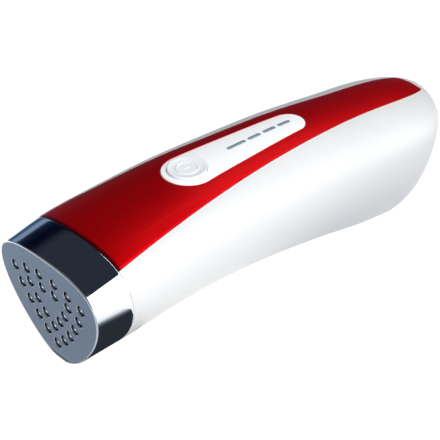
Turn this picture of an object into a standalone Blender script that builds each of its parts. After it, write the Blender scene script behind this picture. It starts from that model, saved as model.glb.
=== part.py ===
"""A hand-held facial care device.

A round-cornered treatment head in a chrome collar sits on an arched handle.  The handle is a white shell
with a glossy red cover on top, and a drop-shaped control panel with one button and four light bars.
The shapes are laid out along the head's own axis: x is across, y runs from the treatment face to the
tail and z is up.  At the end the whole device is tipped on to its heel, the way it lies on a table.
"""
import math

import bmesh
import bpy
import numpy as np
from mathutils import Matrix, Vector

# Body outline, measured from the centre of the treatment face
BODY_LENGTH = 0.1671
TOP_RISE = 0.0159
HEEL_DROP = 0.0491
BODY_HALF_WIDTH = 0.0261
SEAM_HALF_WIDTH = 0.0213
STATION_SHARES = (0.0, 0.093, 0.224, 0.355, 0.485, 0.635, 0.784, 0.915)
TOP_SHARES = (0.831, 0.967, 1.0, 0.988, 0.884, 0.719, 0.439, 0.156)
BOTTOM_SHARES = (0.576, 0.566, 0.555, 0.582, 0.656, 0.781, 0.925, 1.0)
WIDEST_SHARES = (0.015, 0.012, 0.006, -0.022, -0.071, -0.133, -0.193, -0.222)
WIDTH_SHARES = (0.954, 1.0, 0.996, 0.982, 0.965, 0.939, 0.896, 0.864)
SEAM_SHARES = (0.994, 0.962, 0.853, 0.747, 0.634, 0.536, 0.440, 0.416)
CROWN_SHARES = (0.781, 0.615)
SHOULDER_SHARES = (0.656, 0.491)
FLANK_SHARES = (0.385, 0.548)
BELLY_SHARES = (0.397, 0.342)

# Tail, a rounded end that leans forward towards the heel
TAIL_LENGTH = 0.0298
TAIL_START = BODY_LENGTH - TAIL_LENGTH
TAIL_CENTRE_DROP = 0.0036
TAIL_LEAN_SHARE = 0.267
TAIL_ROUND_SHARE = 3.1
LEAST_SHRINK_SHARE = 0.5

# Mesh counts
COVER_CELLS = 5
SHOULDER_CELLS = 5
BELLY_CELLS = 7
BODY_ROWS = 20
TAIL_ROWS = 7
END_ROWS = 4
HALVINGS = 40
PROFILE_STEPS = 40
UNDERSIDE_STEPS = 60
BELLY = COVER_CELLS + SHOULDER_CELLS + BELLY_CELLS
SHARP_ANGLE = math.radians(35)

# Housing
WALL = 0.0018
FIT_GAP = 0.0003
COVER_STOP = 0.0037
COVER_END = BODY_LENGTH - COVER_STOP
HEAD_FLAT = 0.0004
HEEL_FLAT = 0.0008
TABLE_MARGIN = 0.0100
CUT_OVERRUN = 0.0020
TINY = 0.000001
FIRST_SIDE_SHARE = 0.25

# Treatment head
PLATE_DEPTH = 0.0026
PLATE_ROUND = 0.0007
PLATE_ROUND_ROWS = 4
HOLE_RADIUS = 0.0019
HOLE_SIDES = 12
EMITTER_SIDES = 8
EMITTER_RADIUS = 0.0015
EMITTER_RECESS = 0.0005
EMITTER_CROWN = 0.0004
EMITTER_HEAD = 0.0014
EMITTER_STEM = 0.0009
FACE_MIDDLE_DROP = 0.0050
PATTERN_MARGIN = 0.0073
PATTERN_REACH = BOTTOM_SHARES[0] * HEEL_DROP - PATTERN_MARGIN
OUTER_LOOP_SHARES = ((0.186, 0.238), (0.511, 0.185), (0.817, 0.089), (0.706, -0.183),
                     (0.554, -0.425), (0.390, -0.645), (0.210, -0.832), (0.0, -1.0))
INNER_LOOP_SHARES = ((0.151, 0.0), (0.471, -0.050), (0.331, -0.291), (0.173, -0.486), (0.0, -0.665))
DOME_SHARE = 0.5
COLLAR_END = 0.0137
COLLAR_SPIGOT = 0.0062
COLLAR_SPIGOT_WALL = 0.0015
COLLAR_ROWS = 3
SEAL_WIDTH = 0.0015
SEAL_DEPTH = 0.0012
EMITTER_BOARD = 0.0016
SPREADER_DEPTH = 0.0030
LEDGE_DEPTH = 0.0016
LEDGE_WIDTH = 0.0042
WINDOW_WIDTH = 0.0100
WINDOW_HEIGHT = 0.0050
HEADER_MARGIN = 0.0008
HEADER_RISE = 0.0010
STACK_SCREW_RADIUS = 0.0009
STACK_SCREW_HEAD = 0.0017
STACK_SCREW_HEAD_DEPTH = 0.0012
STACK_SCREW_BITE = 0.0022
SENSOR_RADIUS = 0.0012
SENSOR_LENGTH = 0.0040
CUTOUT_WIDTH = 0.0060
CUTOUT_DEPTH = 0.0028
CUTOUT_LENGTH = 0.0090

# Control panel, a drop shape with its wide end round the button
PANEL_PROUD = 0.0002
PANEL_WIDE_RADIUS = 0.0092
PANEL_NARROW_RADIUS = 0.0059
PANEL_PLACE_SHARE = 0.359
PANEL_SPAN = 0.0443
PANEL_WIDE_Y = PANEL_PLACE_SHARE * BODY_LENGTH
PANEL_NARROW_Y = PANEL_WIDE_Y + PANEL_SPAN
PANEL_LIP = 0.0012
PANEL_LIP_DEPTH = 0.0009
PANEL_ROWS = 10
PANEL_END_ROWS = 6
PANEL_CELLS = 4

# Power button and its switch, depths measured inwards from the panel
BUTTON_SET_BACK = 0.0005
BUTTON_Y = PANEL_WIDE_Y - BUTTON_SET_BACK
BUTTON_RADIUS = 0.0067
BUTTON_PROUD = 0.0005
BUTTON_DISH = 0.0003
BUTTON_RING_RADIUS = 0.0036
BUTTON_RING_WIDTH = 0.0005
BUTTON_RING_RISE = 0.0002
BUTTON_EDGE = 0.0004
BUTTON_SIDES = 32
BUTTON_TRAVEL = 0.0006
BUTTON_FLANGE = 0.0010
BUTTON_FLANGE_DEPTH = 0.0007
BUTTON_TIP_ALLOWANCE = 0.0005
STEM_RADIUS = 0.0016
STEM_LENGTH = 0.0010
PLUNGER_RADIUS = 0.0014
PLUNGER_LENGTH = 0.0013
PLUNGER_SHOWS = 0.0007
SWITCH_SIDE = 0.0062
SWITCH_HEIGHT = 0.0026

# Light bars on the panel's middle line, placed by their shares of the panel's span
BAR_SPAN_SHARES = ((0.381, 0.562), (0.591, 0.713), (0.743, 0.865), (0.894, 1.016))
BAR_HALF_WIDTH = 0.0006
BAR_PROUD = 0.0001
BAR_CLEARANCE = 0.0002
BAR_END_ROWS = 4
BAR_DEPTH = 0.0075
LED_WIDTH = 0.0016
LED_LENGTH = 0.0030
LED_HEIGHT = 0.0008

# Button board and the panel's posts that carry it, measured from the button
BUTTON_BOARD_HALF_WIDTH = 0.0078
BUTTON_BOARD_THICKNESS = 0.0012
BUTTON_BOARD_FRONT = 0.0070
BUTTON_BOARD_MARGIN = 0.0047
BUTTON_BOARD_REAR = PANEL_SPAN + BUTTON_BOARD_MARGIN
POST_RADIUS = 0.0018
POST_SIDE = 0.0045
POST_CLEARANCE = 0.0020
POST_INSET = 0.0030
POST_FRONT = BUTTON_RADIUS + BUTTON_FLANGE + POST_RADIUS + POST_CLEARANCE
POST_REAR = BUTTON_BOARD_REAR - POST_INSET
BOARD_SCREW_RADIUS = 0.0008
BOARD_SCREW_HEAD = 0.0015
BOARD_SCREW_HEAD_DEPTH = 0.0010
BOARD_SCREW_BITE = 0.0030
SCREW_SLOT_WIDTH = 0.0005
SCREW_SIDES = 10

# Tray and main board, level when the device rests
TRAY_HEAD_CLEARANCE = 0.0041
TRAY_TAIL_CLEARANCE = 0.0331
TRAY_START = COLLAR_END + COLLAR_SPIGOT + TRAY_HEAD_CLEARANCE
TRAY_END = BODY_LENGTH - TRAY_TAIL_CLEARANCE
TRAY_DROP = 0.0060
TRAY_THICKNESS = 0.0015
TRAY_ROWS = 16
TRAY_POST_RADIUS = 0.0020
TRAY_POST_HEIGHT = 0.0030
TRAY_SCREW_BITE = 0.0025
MAIN_BOARD_INSET = 0.0060
MAIN_BOARD_START = TRAY_START + MAIN_BOARD_INSET
MAIN_BOARD_SET_BACK = 0.0070
MAIN_BOARD_HALF_WIDTH = 0.0120
MAIN_BOARD_THICKNESS = 0.0016
TRAY_POST_INSET = 0.0035
TRAY_POST_REAR_INSET = 0.0110
CHIP_WIDTH = 0.0090
CHIP_HEIGHT = 0.0016
CHIP_PLACE_SHARE = 0.34
DRIVER_WIDTH = 0.0060
DRIVER_LENGTH = 0.0050
DRIVER_HEIGHT = 0.0015
DRIVER_PLACE_SHARE = 0.19
DRIVER_SIDE = 0.0050
COIL_RADIUS = 0.0050
COIL_WASTE = 0.0010
COIL_HEIGHT = 0.0052
COIL_FLANGE = 0.0010
COIL_PLACE_SHARE = 0.55
CAP_RADIUS = 0.0032
CAP_HEIGHT = 0.0090
CAP_GROOVE = 0.0003
CAP_GROOVE_WIDTH = 0.0008
CAP_GROOVE_PLACE = 0.0016
CAP_PLACE_SHARE = 0.69
CAP_PITCH = 0.0140
CAP_COUNT = 2
PART_SIDES = 16

# Power inlet at the tail
INLET_WIDTH = 0.0092
INLET_LENGTH = 0.0135
INLET_HEIGHT = 0.0110
INLET_BORE = 0.0030
INLET_BORE_DEPTH = 0.0095
INLET_PIN = 0.0010
INLET_PIN_RECESS = 0.0014
INLET_AXIS_HEIGHT = 0.0062
INLET_NOSE_RADIUS = 0.0042
INLET_NOSE_LENGTH = 0.0016
INLET_SET_BACK = 0.0009
INLET_SIDES = 20
TAIL_HOLE_RADIUS = 0.0034

# Leads
LEAD_THICKNESS = 0.0006
LEAD_HALF_WIDTH = 0.0035
PLUG_WIDTH = 0.0085
PLUG_LENGTH = 0.0040
PLUG_HEIGHT = 0.0035
LEAD_BEND = 0.0080
LEAD_ROWS = 12
HEAD_LEAD_REACH = 0.0040
BUTTON_LEAD_REACH = 0.0100

WHITE = (0.86, 0.87, 0.88)
RED = (0.55, 0.0, 0.012)
CHROME = (0.80, 0.81, 0.83)
PLATE_GREY = (0.36, 0.42, 0.48)
BLACK = (0.02, 0.02, 0.022)
BOARD_GREEN = (0.02, 0.16, 0.07)
STEEL = (0.60, 0.60, 0.60)
ALUMINIUM = (0.72, 0.73, 0.74)
COPPER = (0.60, 0.28, 0.12)
LIGHT_BAR = (0.45, 0.55, 0.66)
LENS_AMBER = (0.75, 0.72, 0.62)
CREAM = (0.80, 0.76, 0.66)


def clear_scene():
    for old in list(bpy.data.objects):
        bpy.data.objects.remove(old, do_unlink=True)


def curve_value(values, y):
    """Smooth curve through the values at the stations, carried straight on past the last one."""
    places = [share * BODY_LENGTH for share in STATION_SHARES]
    spans = np.diff(places)
    steps = np.diff(values) / spans
    slopes = np.empty(len(places))
    slopes[0] = steps[0]
    slopes[-1] = steps[-1]
    slopes[1:-1] = (steps[:-1] * spans[1:] + steps[1:] * spans[:-1]) / (spans[:-1] + spans[1:])
    if y >= places[-1]:
        return values[-1] + slopes[-1] * (y - places[-1])
    i = min(max(int(np.searchsorted(places, y)) - 1, 0), len(places) - 2)
    h = places[i + 1] - places[i]
    s = (y - places[i]) / h
    near = (1 + 2 * s) * (1 - s) ** 2 * values[i] + s * (1 - s) ** 2 * h * slopes[i]
    far = s * s * (3 - 2 * s) * values[i + 1] + s * s * (s - 1) * h * slopes[i + 1]
    return near + far


def scaled(shares, size):
    return [share * size for share in shares]


def body_sizes(y, inset=0.0):
    """Top, bottom and widest heights, half width and seam half width of the cross-section at y."""
    top = curve_value(scaled(TOP_SHARES, TOP_RISE), y) - inset
    bottom = inset - curve_value(scaled(BOTTOM_SHARES, HEEL_DROP), y)
    widest = curve_value(scaled(WIDEST_SHARES, HEEL_DROP), y)
    half = curve_value(scaled(WIDTH_SHARES, BODY_HALF_WIDTH), y) - inset
    seam = curve_value(scaled(SEAM_SHARES, SEAM_HALF_WIDTH), y)
    return top, bottom, widest, half, seam


def along(shares, y):
    """A fullness share that changes evenly from head to tail."""
    s = min(max(y / BODY_LENGTH, 0.0), 1.0)
    return shares[0] * (1 - s) + shares[1] * s


def bezier(p0, p1, p2, p3, u):
    v = 1 - u
    return tuple(v ** 3 * a + 3 * v * v * u * b + 3 * v * u * u * c + u ** 3 * d
                 for a, b, c, d in zip(p0, p1, p2, p3))


def section_curves(y, inset=0.0):
    """The two curves of a half section: crown to widest point, and widest point to belly."""
    top, bottom, widest, half, seam = body_sizes(y, inset)
    upper = ((0.0, top), (along(CROWN_SHARES, y) * half, top),
             (half, widest + along(SHOULDER_SHARES, y) * (top - widest)), (half, widest))
    lower = ((half, widest), (half, widest - along(FLANK_SHARES, y) * (widest - bottom)),
             (along(BELLY_SHARES, y) * half, bottom), (0.0, bottom))
    return upper, lower, seam


def share_at_side(curve, side):
    """How far along the crown curve the half width reaches side."""
    low, high = 0.0, 1.0
    for _ in range(HALVINGS):
        middle = (low + high) / 2
        if bezier(*curve, middle)[0] < side:
            low = middle
        else:
            high = middle
    return low


def half_section(y, inset=0.0, seam_shift=0.0):
    """Points from the crown's middle line round to the belly's, with one point on the seam."""
    upper, lower, seam = section_curves(y, inset)
    split = share_at_side(upper, seam + seam_shift)
    points = [bezier(*upper, split * i / COVER_CELLS) for i in range(COVER_CELLS)]
    points += [bezier(*upper, split + (1 - split) * i / SHOULDER_CELLS) for i in range(SHOULDER_CELLS)]
    points += [bezier(*lower, i / BELLY_CELLS) for i in range(BELLY_CELLS + 1)]
    return points


def ring(y, inset=0.0, seam_shift=0.0, reach=0.0):
    """A closed cross-section at y, anticlockwise seen from the face; reach runs to 1 at the tail's tip."""
    shrink = max(1 - reach ** TAIL_ROUND_SHARE, 0.0) ** (1 / TAIL_ROUND_SHARE)
    shift = seam_shift / max(shrink, LEAST_SHRINK_SHARE)
    half = half_section(y, inset, shift)
    full = half + [(-x, z) for x, z in half[-2:0:-1]]
    centre = -TAIL_CENTRE_DROP
    points = []
    for x, z in full:
        height = centre + (z - centre) * shrink
        points.append(Vector((x * shrink, y - TAIL_LEAN_SHARE * (centre - height) * reach, height)))
    return points


def tail_ring(reach, inset=0.0, seam_shift=0.0):
    y = TAIL_START + (BODY_LENGTH - inset - TAIL_START) * reach
    return ring(y, inset, seam_shift, reach)


def crown_height(x, y, inset=0.0):
    """Height of the handle's top surface over a point, sunk by inset."""
    upper, _, _ = section_curves(y, inset)
    return bezier(*upper, share_at_side(upper, abs(x)))[1]


def half_width_at(y, z, inset):
    """Half width of the cross-section at y, at height z."""
    upper, lower, _ = section_curves(y, inset)
    curve = upper if z > upper[3][1] else lower
    samples = [bezier(*curve, i / PROFILE_STEPS) for i in range(PROFILE_STEPS + 1)]
    samples.sort(key=lambda p: p[1])
    return float(np.interp(z, [p[1] for p in samples], [p[0] for p in samples]))


def tail_reaches(end):
    """Even steps round the tail: to the cover's end, then on to the tip."""
    split = math.asin((end - TAIL_START) / (BODY_LENGTH - TAIL_START))
    first = [split * (i + 1) / TAIL_ROWS for i in range(TAIL_ROWS)]
    rest = [split + (math.pi / 2 - split) * (i + 1) / END_ROWS for i in range(END_ROWS)]
    return [math.sin(a) for a in first], [math.sin(a) for a in rest]


def underside():
    """The belly's middle line, from the back of the treatment plate to the tip."""
    steps = range(UNDERSIDE_STEPS)
    line = [ring(PLATE_DEPTH + (TAIL_START - PLATE_DEPTH) * i / UNDERSIDE_STEPS)[BELLY] for i in steps]
    line += [tail_ring(math.sin(math.pi / 2 * i / UNDERSIDE_STEPS))[BELLY] for i in steps]
    return line


def rest_plane():
    """Tilt of the table under the head and the heel, and its height under the face's centre."""
    line = underside()
    front = line[0]
    level = front.z + HEAD_FLAT
    tilt = max(math.atan2(level - p.z - HEEL_FLAT, p.y - front.y) for p in line[1:])
    return tilt, level + math.tan(tilt) * front.y


TILT, FLOOR_HEIGHT = rest_plane()


def finish(name, colour, roughness, metallic):
    material = bpy.data.materials.get(name) or bpy.data.materials.new(name)
    material.use_nodes = True
    shader = material.node_tree.nodes["Principled BSDF"]
    shader.inputs["Base Color"].default_value = (*colour, 1.0)
    shader.inputs["Roughness"].default_value = roughness
    shader.inputs["Metallic"].default_value = metallic
    return material


def make_piece(name, points, faces, frame, smooth=True, material=None):
    """A named mesh whose points are given in the frame's own axes."""
    mesh = bpy.data.meshes.new(name)
    mesh.from_pydata([tuple(p) for p in points], [], faces)
    mesh.validate()
    weld(mesh)
    if smooth:
        mesh.shade_smooth()
        mesh.set_sharp_from_angle(angle=SHARP_ANGLE)
    piece = bpy.data.objects.new(name, mesh)
    bpy.context.scene.collection.objects.link(piece)
    piece.parent = frame
    if material:
        mesh.materials.append(material)
    return piece


def weld(mesh):
    work = bmesh.new()
    work.from_mesh(mesh)
    bmesh.ops.remove_doubles(work, verts=work.verts, dist=TINY)
    bmesh.ops.dissolve_degenerate(work, edges=work.edges, dist=TINY)
    bmesh.ops.recalc_face_normals(work, faces=work.faces)
    work.to_mesh(mesh)
    work.free()


def frame_at(name, place, tilt, parent=None):
    empty = bpy.data.objects.new(name, None)
    bpy.context.scene.collection.objects.link(empty)
    empty.location = place
    empty.rotation_euler = (tilt, 0.0, 0.0)
    empty.parent = parent
    return empty


def boolean(piece, other, operation):
    step = piece.modifiers.new(other.name, "BOOLEAN")
    step.operation = operation
    step.object = other
    step.solver = "EXACT"
    other.hide_render = True
    other.display_type = "WIRE"


def cut(piece, cutter):
    boolean(piece, cutter, "DIFFERENCE")


def join(piece, extra):
    boolean(piece, extra, "UNION")


def turned(name, profile, frame, place, sides, axis="Z", material=None):
    """A solid turned from (radius, height) points, about the Z or Y axis through place."""
    points = []
    faces = []
    rows = len(profile)
    for i in range(sides):
        angle = 2 * math.pi * (i + FIRST_SIDE_SHARE) / sides
        for radius, height in profile:
            x, y = radius * math.cos(angle), radius * math.sin(angle)
            spot = Vector((x, y, height)) if axis == "Z" else Vector((x, height, -y))
            points.append(spot)
    for i in range(sides):
        j = (i + 1) % sides
        for k in range(rows):
            n = (k + 1) % rows
            if profile[k][0] or profile[n][0]:
                faces.append((i * rows + k, j * rows + k, j * rows + n, i * rows + n))
    piece = make_piece(name, points, faces, frame, True, material)
    piece.location = place
    return piece


def block(name, size, frame, place, material=None):
    """A box centred across x and y, standing on place."""
    half_x, half_y = size[0] / 2, size[1] / 2
    corners = [(x, y, z) for z in (0.0, size[2]) for y in (-half_y, half_y) for x in (-half_x, half_x)]
    faces = [(0, 2, 3, 1), (4, 5, 7, 6), (0, 1, 5, 4), (2, 6, 7, 3), (0, 4, 6, 2), (1, 3, 7, 5)]
    piece = make_piece(name, corners, faces, frame, False, material)
    piece.location = place
    return piece


def ring_solid(name, profile, frame, material):
    """A hoop that follows the body's section: profile is a closed loop of (y, inset)."""
    rings = [ring(y, inset) for y, inset in profile]
    around = len(rings[0])
    points = [p for loop in rings for p in loop]
    faces = []
    for k in range(len(rings)):
        n = (k + 1) % len(rings)
        for i in range(around):
            j = (i + 1) % around
            faces.append((k * around + i, k * around + j, n * around + j, n * around + i))
    return make_piece(name, points, faces, frame, True, material)


def capped_solid(name, profile, frame, material=None):
    """A disc that follows the body's section: profile runs front to back as (y, inset)."""
    rings = [ring(y, inset) for y, inset in profile]
    around = len(rings[0])
    points = [p for loop in rings for p in loop]
    faces = [tuple(range(around)), tuple(reversed(range((len(rings) - 1) * around, len(rings) * around)))]
    for k in range(len(rings) - 1):
        for i in range(around):
            j = (i + 1) % around
            faces.append((k * around + i, k * around + j, (k + 1) * around + j, (k + 1) * around + i))
    return make_piece(name, points, faces, frame, True, material)


def thick_patch(name, outer, inner, kept, frame, material):
    """A wall between two matching grids of rings, built from the kept (row, column) cells."""
    around = len(outer[0])
    offset = len(outer) * around
    points = [p for loop in outer for p in loop] + [p for loop in inner for p in loop]
    faces = []
    edge_count = {}
    for row, column in kept:
        side = (column + 1) % around
        corners = (row * around + column, row * around + side,
                   (row + 1) * around + side, (row + 1) * around + column)
        faces.append(corners)
        faces.append(tuple(offset + c for c in reversed(corners)))
        for i in range(4):
            edge = (corners[i], corners[(i + 1) % 4])
            edge_count[edge] = edge_count.get(edge, 0) + 1
    for a, b in edge_count:
        if (b, a) not in edge_count:
            faces.append((b, a, offset + a, offset + b))
    used = sorted({i for face in faces for i in face})
    renumber = {old: new for new, old in enumerate(used)}
    faces = [tuple(renumber[i] for i in face) for face in faces]
    return make_piece(name, [points[i] for i in used], faces, frame, True, material)


def body_grid(inset, seam_shift, start, end):
    """Rings from start round the tail to its tip, with one ring at the cover's end."""
    ys = [start + (TAIL_START - start) * i / BODY_ROWS for i in range(BODY_ROWS + 1)]
    rows = [ring(y, inset, seam_shift) for y in ys]
    to_cover_end, to_tip = tail_reaches(end)
    rows += [tail_ring(reach, inset, seam_shift) for reach in to_cover_end + to_tip]
    return rows


def is_cover_column(column, around):
    return column < COVER_CELLS or column >= around - COVER_CELLS


def build_lower_shell(frame):
    start = COLLAR_END + FIT_GAP
    end = COVER_END + FIT_GAP / 2
    outer = body_grid(0.0, FIT_GAP / 2, start, end)
    inner = body_grid(WALL, FIT_GAP / 2, start, end)
    around = len(outer[0])
    cover_rows = BODY_ROWS + TAIL_ROWS
    kept = [(row, column) for row in range(len(outer) - 1) for column in range(around)
            if row >= cover_rows or not is_cover_column(column, around)]
    shell = thick_patch("lower_shell", outer, inner, kept, frame, finish("white_shell", WHITE, 0.18, 0.0))
    return shell


def build_top_cover(frame):
    start = COLLAR_END + FIT_GAP
    end = COVER_END - FIT_GAP / 2
    outer = body_grid(0.0, -FIT_GAP / 2, start, end)
    inner = body_grid(WALL, -FIT_GAP / 2, start, end)
    around = len(outer[0])
    kept = [(row, column) for row in range(BODY_ROWS + TAIL_ROWS) for column in range(around)
            if is_cover_column(column, around)]
    return thick_patch("top_cover", outer, inner, kept, frame, finish("red_cover", RED, 0.15, 0.0))


def build_plate(frame):
    profile = []
    for i in range(PLATE_ROUND_ROWS + 1):
        angle = math.pi / 2 * i / PLATE_ROUND_ROWS
        profile.append((PLATE_ROUND * (1 - math.sin(angle)), PLATE_ROUND * (1 - math.cos(angle))))
    profile.reverse()
    profile.append((PLATE_DEPTH, 0.0))
    plate = capped_solid("treatment_plate", profile, frame, finish("plate_grey", PLATE_GREY, 0.35, 0.7))
    cut(plate, hole_pattern("plate_hole_cutter", HOLE_RADIUS, HOLE_SIDES, -CUT_OVERRUN,
                            PLATE_DEPTH + CUT_OVERRUN, frame))
    return plate


def pattern_places():
    """The two rows of holes, mirrored about the middle."""
    places = []
    for side, rise in OUTER_LOOP_SHARES + INNER_LOOP_SHARES:
        x, z = side * PATTERN_REACH, rise * PATTERN_REACH
        places.append((x, z))
        if x > 0.0:
            places.append((-x, z))
    return places


def hole_pattern(name, radius, sides, front, back, frame, crown=0.0):
    """Round bodies at every place of the pattern, from front to back, domed in front by crown."""
    points = []
    faces = []
    for x, z in pattern_places():
        base = len(points)
        for y, share in ((front, DOME_SHARE if crown else 1.0), (front + crown, 1.0), (back, 1.0)):
            for i in range(sides):
                angle = 2 * math.pi * i / sides
                r = radius * share
                points.append((x + r * math.cos(angle), y, z + r * math.sin(angle)))
        faces.append(tuple(base + i for i in range(sides)))
        faces.append(tuple(base + 2 * sides + i for i in reversed(range(sides))))
        for k in range(2):
            for i in range(sides):
                j = (i + 1) % sides
                low, high = base + k * sides, base + (k + 1) * sides
                faces.append((low + i, high + i, high + j, low + j))
    return make_piece(name, points, faces, frame)


def stack_places():
    """Where the pieces behind the plate begin: board, spreader, ledge, and the ledge's back."""
    board = PLATE_DEPTH + FIT_GAP
    spreader = board + EMITTER_BOARD + FIT_GAP
    ledge = spreader + SPREADER_DEPTH + FIT_GAP
    return board, spreader, ledge, ledge + LEDGE_DEPTH


STACK_INSET = WALL + FIT_GAP + SEAL_WIDTH + FIT_GAP


def build_collar(frame):
    """The chrome hoop, with a ledge for the stack inside and a spigot that enters the handle."""
    front, _, ledge, ledge_back = stack_places()
    spigot_end = COLLAR_END + COLLAR_SPIGOT
    inner = WALL + FIT_GAP + COLLAR_SPIGOT_WALL
    profile = [(front + (COLLAR_END - front) * i / COLLAR_ROWS, 0.0) for i in range(COLLAR_ROWS + 1)]
    profile += [(COLLAR_END, WALL + FIT_GAP), (spigot_end, WALL + FIT_GAP), (spigot_end, inner)]
    profile += [(ledge_back, inner), (ledge_back, STACK_INSET + LEDGE_WIDTH)]
    profile += [(ledge, STACK_INSET + LEDGE_WIDTH), (ledge, WALL), (front, WALL)]
    collar = ring_solid("chrome_collar", profile, frame, finish("chrome", CHROME, 0.06, 1.0))
    for i, place in enumerate(stack_screw_places()):
        cut(collar, bore(f"ledge_cutter_{i + 1}", STACK_SCREW_RADIUS + FIT_GAP,
                         ledge - CUT_OVERRUN, ledge_back + CUT_OVERRUN, place, frame))
    return collar


def bore(name, radius, start, end, place, frame, axis="Y", sides=SCREW_SIDES):
    """A round cutter along the axis, from start to end."""
    profile = [(0.0, start), (radius, start), (radius, end), (0.0, end)]
    return turned(name, profile, frame, place, sides, axis)


def stack_screw_places():
    """Two screws beside the crown and one at the foot, all in the middle of the ledge."""
    _, _, ledge, _ = stack_places()
    middle = ring(ledge, STACK_INSET + LEDGE_WIDTH / 2)
    around = len(middle)
    shoulder = (middle[COVER_CELLS] + middle[COVER_CELLS + 1]) / 2
    foot = middle[around // 2]
    return [(shoulder.x, 0.0, shoulder.z), (-shoulder.x, 0.0, shoulder.z), (foot.x, 0.0, foot.z)]


def build_seal(frame):
    front = PLATE_DEPTH + FIT_GAP
    near, far = WALL + FIT_GAP, WALL + FIT_GAP + SEAL_WIDTH
    profile = [(front, near), (front + SEAL_DEPTH, near), (front + SEAL_DEPTH, far), (front, far)]
    return ring_solid("plate_seal", profile, frame, finish("seal_black", BLACK, 0.7, 0.0))


def build_emitter_board(frame):
    """The board behind the plate, an emitter head on a stem under each hole, and a header at its back."""
    front, spreader, ledge, _ = stack_places()
    black = finish("emitter_black", BLACK, 0.5, 0.0)
    board = capped_solid("emitter_board", [(front, STACK_INSET), (front + EMITTER_BOARD, STACK_INSET)],
                         frame, black)
    overlap = EMITTER_BOARD / 2
    head_middle = EMITTER_RECESS + EMITTER_HEAD / 2
    join(board, hole_pattern("stem_guide", EMITTER_STEM, EMITTER_SIDES, head_middle, front + overlap, frame))
    join(board, hole_pattern("emitter_guide", EMITTER_RADIUS, EMITTER_SIDES, EMITTER_RECESS,
                             EMITTER_RECESS + EMITTER_HEAD, frame, EMITTER_CROWN))
    width = WINDOW_WIDTH - 2 * HEADER_MARGIN
    height = WINDOW_HEIGHT - 2 * HEADER_MARGIN
    start = front + overlap
    length = spreader + SPREADER_DEPTH + HEADER_RISE - start
    middle = (0.0, start + length / 2, -FACE_MIDDLE_DROP - height / 2)
    join(board, block("header_guide", (width, length, height), frame, middle))
    return board


def build_spreader(frame):
    _, start, _, _ = stack_places()
    end = start + SPREADER_DEPTH
    spreader = capped_solid("heat_spreader", [(start, STACK_INSET), (end, STACK_INSET)], frame,
                            finish("aluminium", ALUMINIUM, 0.4, 1.0))
    length = SPREADER_DEPTH + 2 * CUT_OVERRUN
    middle = (0.0, start + SPREADER_DEPTH / 2, -FACE_MIDDLE_DROP - WINDOW_HEIGHT / 2)
    cut(spreader, block("window_cutter", (WINDOW_WIDTH, length, WINDOW_HEIGHT), frame, middle))
    for i, place in enumerate(stack_screw_places()):
        cut(spreader, bore(f"spreader_cutter_{i + 1}", STACK_SCREW_RADIUS + FIT_GAP,
                           end - STACK_SCREW_BITE - FIT_GAP, end + CUT_OVERRUN, place, frame))
    return spreader


def screw(name, radius, head_radius, head_depth, tip, seat, place, frame, axis, turn=1.0):
    """A slotted screw: shank from tip to seat, then its head; turn is -1 where it points the other way."""
    steel = finish("steel", STEEL, 0.3, 1.0)
    profile = [(0.0, turn * tip), (radius, turn * tip), (radius, turn * seat),
               (head_radius, turn * seat), (head_radius, turn * (seat + head_depth)),
               (0.0, turn * (seat + head_depth))]
    piece = turned(name, profile, frame, place, SCREW_SIDES, axis, steel)
    slot_bottom = seat + head_depth / 2
    slot_length = head_depth / 2 + CUT_OVERRUN
    across = 2 * head_radius + CUT_OVERRUN
    if axis == "Y":
        size = (across, slot_length, SCREW_SLOT_WIDTH)
        reach = turn * (slot_bottom + slot_length / 2)
        spot = (place[0], place[1] + reach, place[2] - SCREW_SLOT_WIDTH / 2)
    else:
        size = (across, SCREW_SLOT_WIDTH, slot_length)
        low = slot_bottom if turn > 0 else -slot_bottom - slot_length
        spot = (place[0], place[1], place[2] + low)
    cut(piece, block(name + "_slot_cutter", size, frame, spot))
    return piece


def build_stack_screws(frame):
    _, start, _, back = stack_places()
    tip = start + SPREADER_DEPTH - STACK_SCREW_BITE
    for i, place in enumerate(stack_screw_places()):
        screw(f"stack_screw_{i + 1}", STACK_SCREW_RADIUS, STACK_SCREW_HEAD, STACK_SCREW_HEAD_DEPTH,
              tip, back + FIT_GAP, place, frame, "Y")


def beside_plug(bottom):
    """Halfway from the plug's side to the ledge's opening, at the height of bottom."""
    _, _, ledge, _ = stack_places()
    return (PLUG_WIDTH / 2 + half_width_at(ledge, bottom, STACK_INSET + LEDGE_WIDTH)) / 2


def build_head_sensors(frame):
    """A bead sensor and a thermal cut-out on the back of the spreader, beside the header's window."""
    _, start, _, _ = stack_places()
    back = start + SPREADER_DEPTH + FIT_GAP
    bottom = -FACE_MIDDLE_DROP - SENSOR_LENGTH / 2
    profile = [(0.0, 0.0), (SENSOR_RADIUS, 0.0), (SENSOR_RADIUS, SENSOR_LENGTH), (0.0, SENSOR_LENGTH)]
    turned("temperature_sensor", profile, frame, (beside_plug(bottom), back + SENSOR_RADIUS, bottom),
           PART_SIDES, "Z", finish("sensor_glass", LENS_AMBER, 0.2, 0.0))
    bottom = -FACE_MIDDLE_DROP - CUTOUT_LENGTH / 2
    block("thermal_cutout", (CUTOUT_WIDTH, CUTOUT_DEPTH, CUTOUT_LENGTH), frame,
          (-beside_plug(bottom), back + CUTOUT_DEPTH / 2, bottom), finish("cream_ceramic", CREAM, 0.6, 0.0))


def header_end():
    _, start, _, _ = stack_places()
    return start + SPREADER_DEPTH + HEADER_RISE


def build_head_plug(frame):
    start = header_end() + FIT_GAP
    block("head_plug", (PLUG_WIDTH, PLUG_LENGTH, PLUG_HEIGHT), frame,
          (0.0, start + PLUG_LENGTH / 2, -FACE_MIDDLE_DROP - PLUG_HEIGHT / 2),
          finish("cream_plastic", CREAM, 0.5, 0.0))


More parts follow.
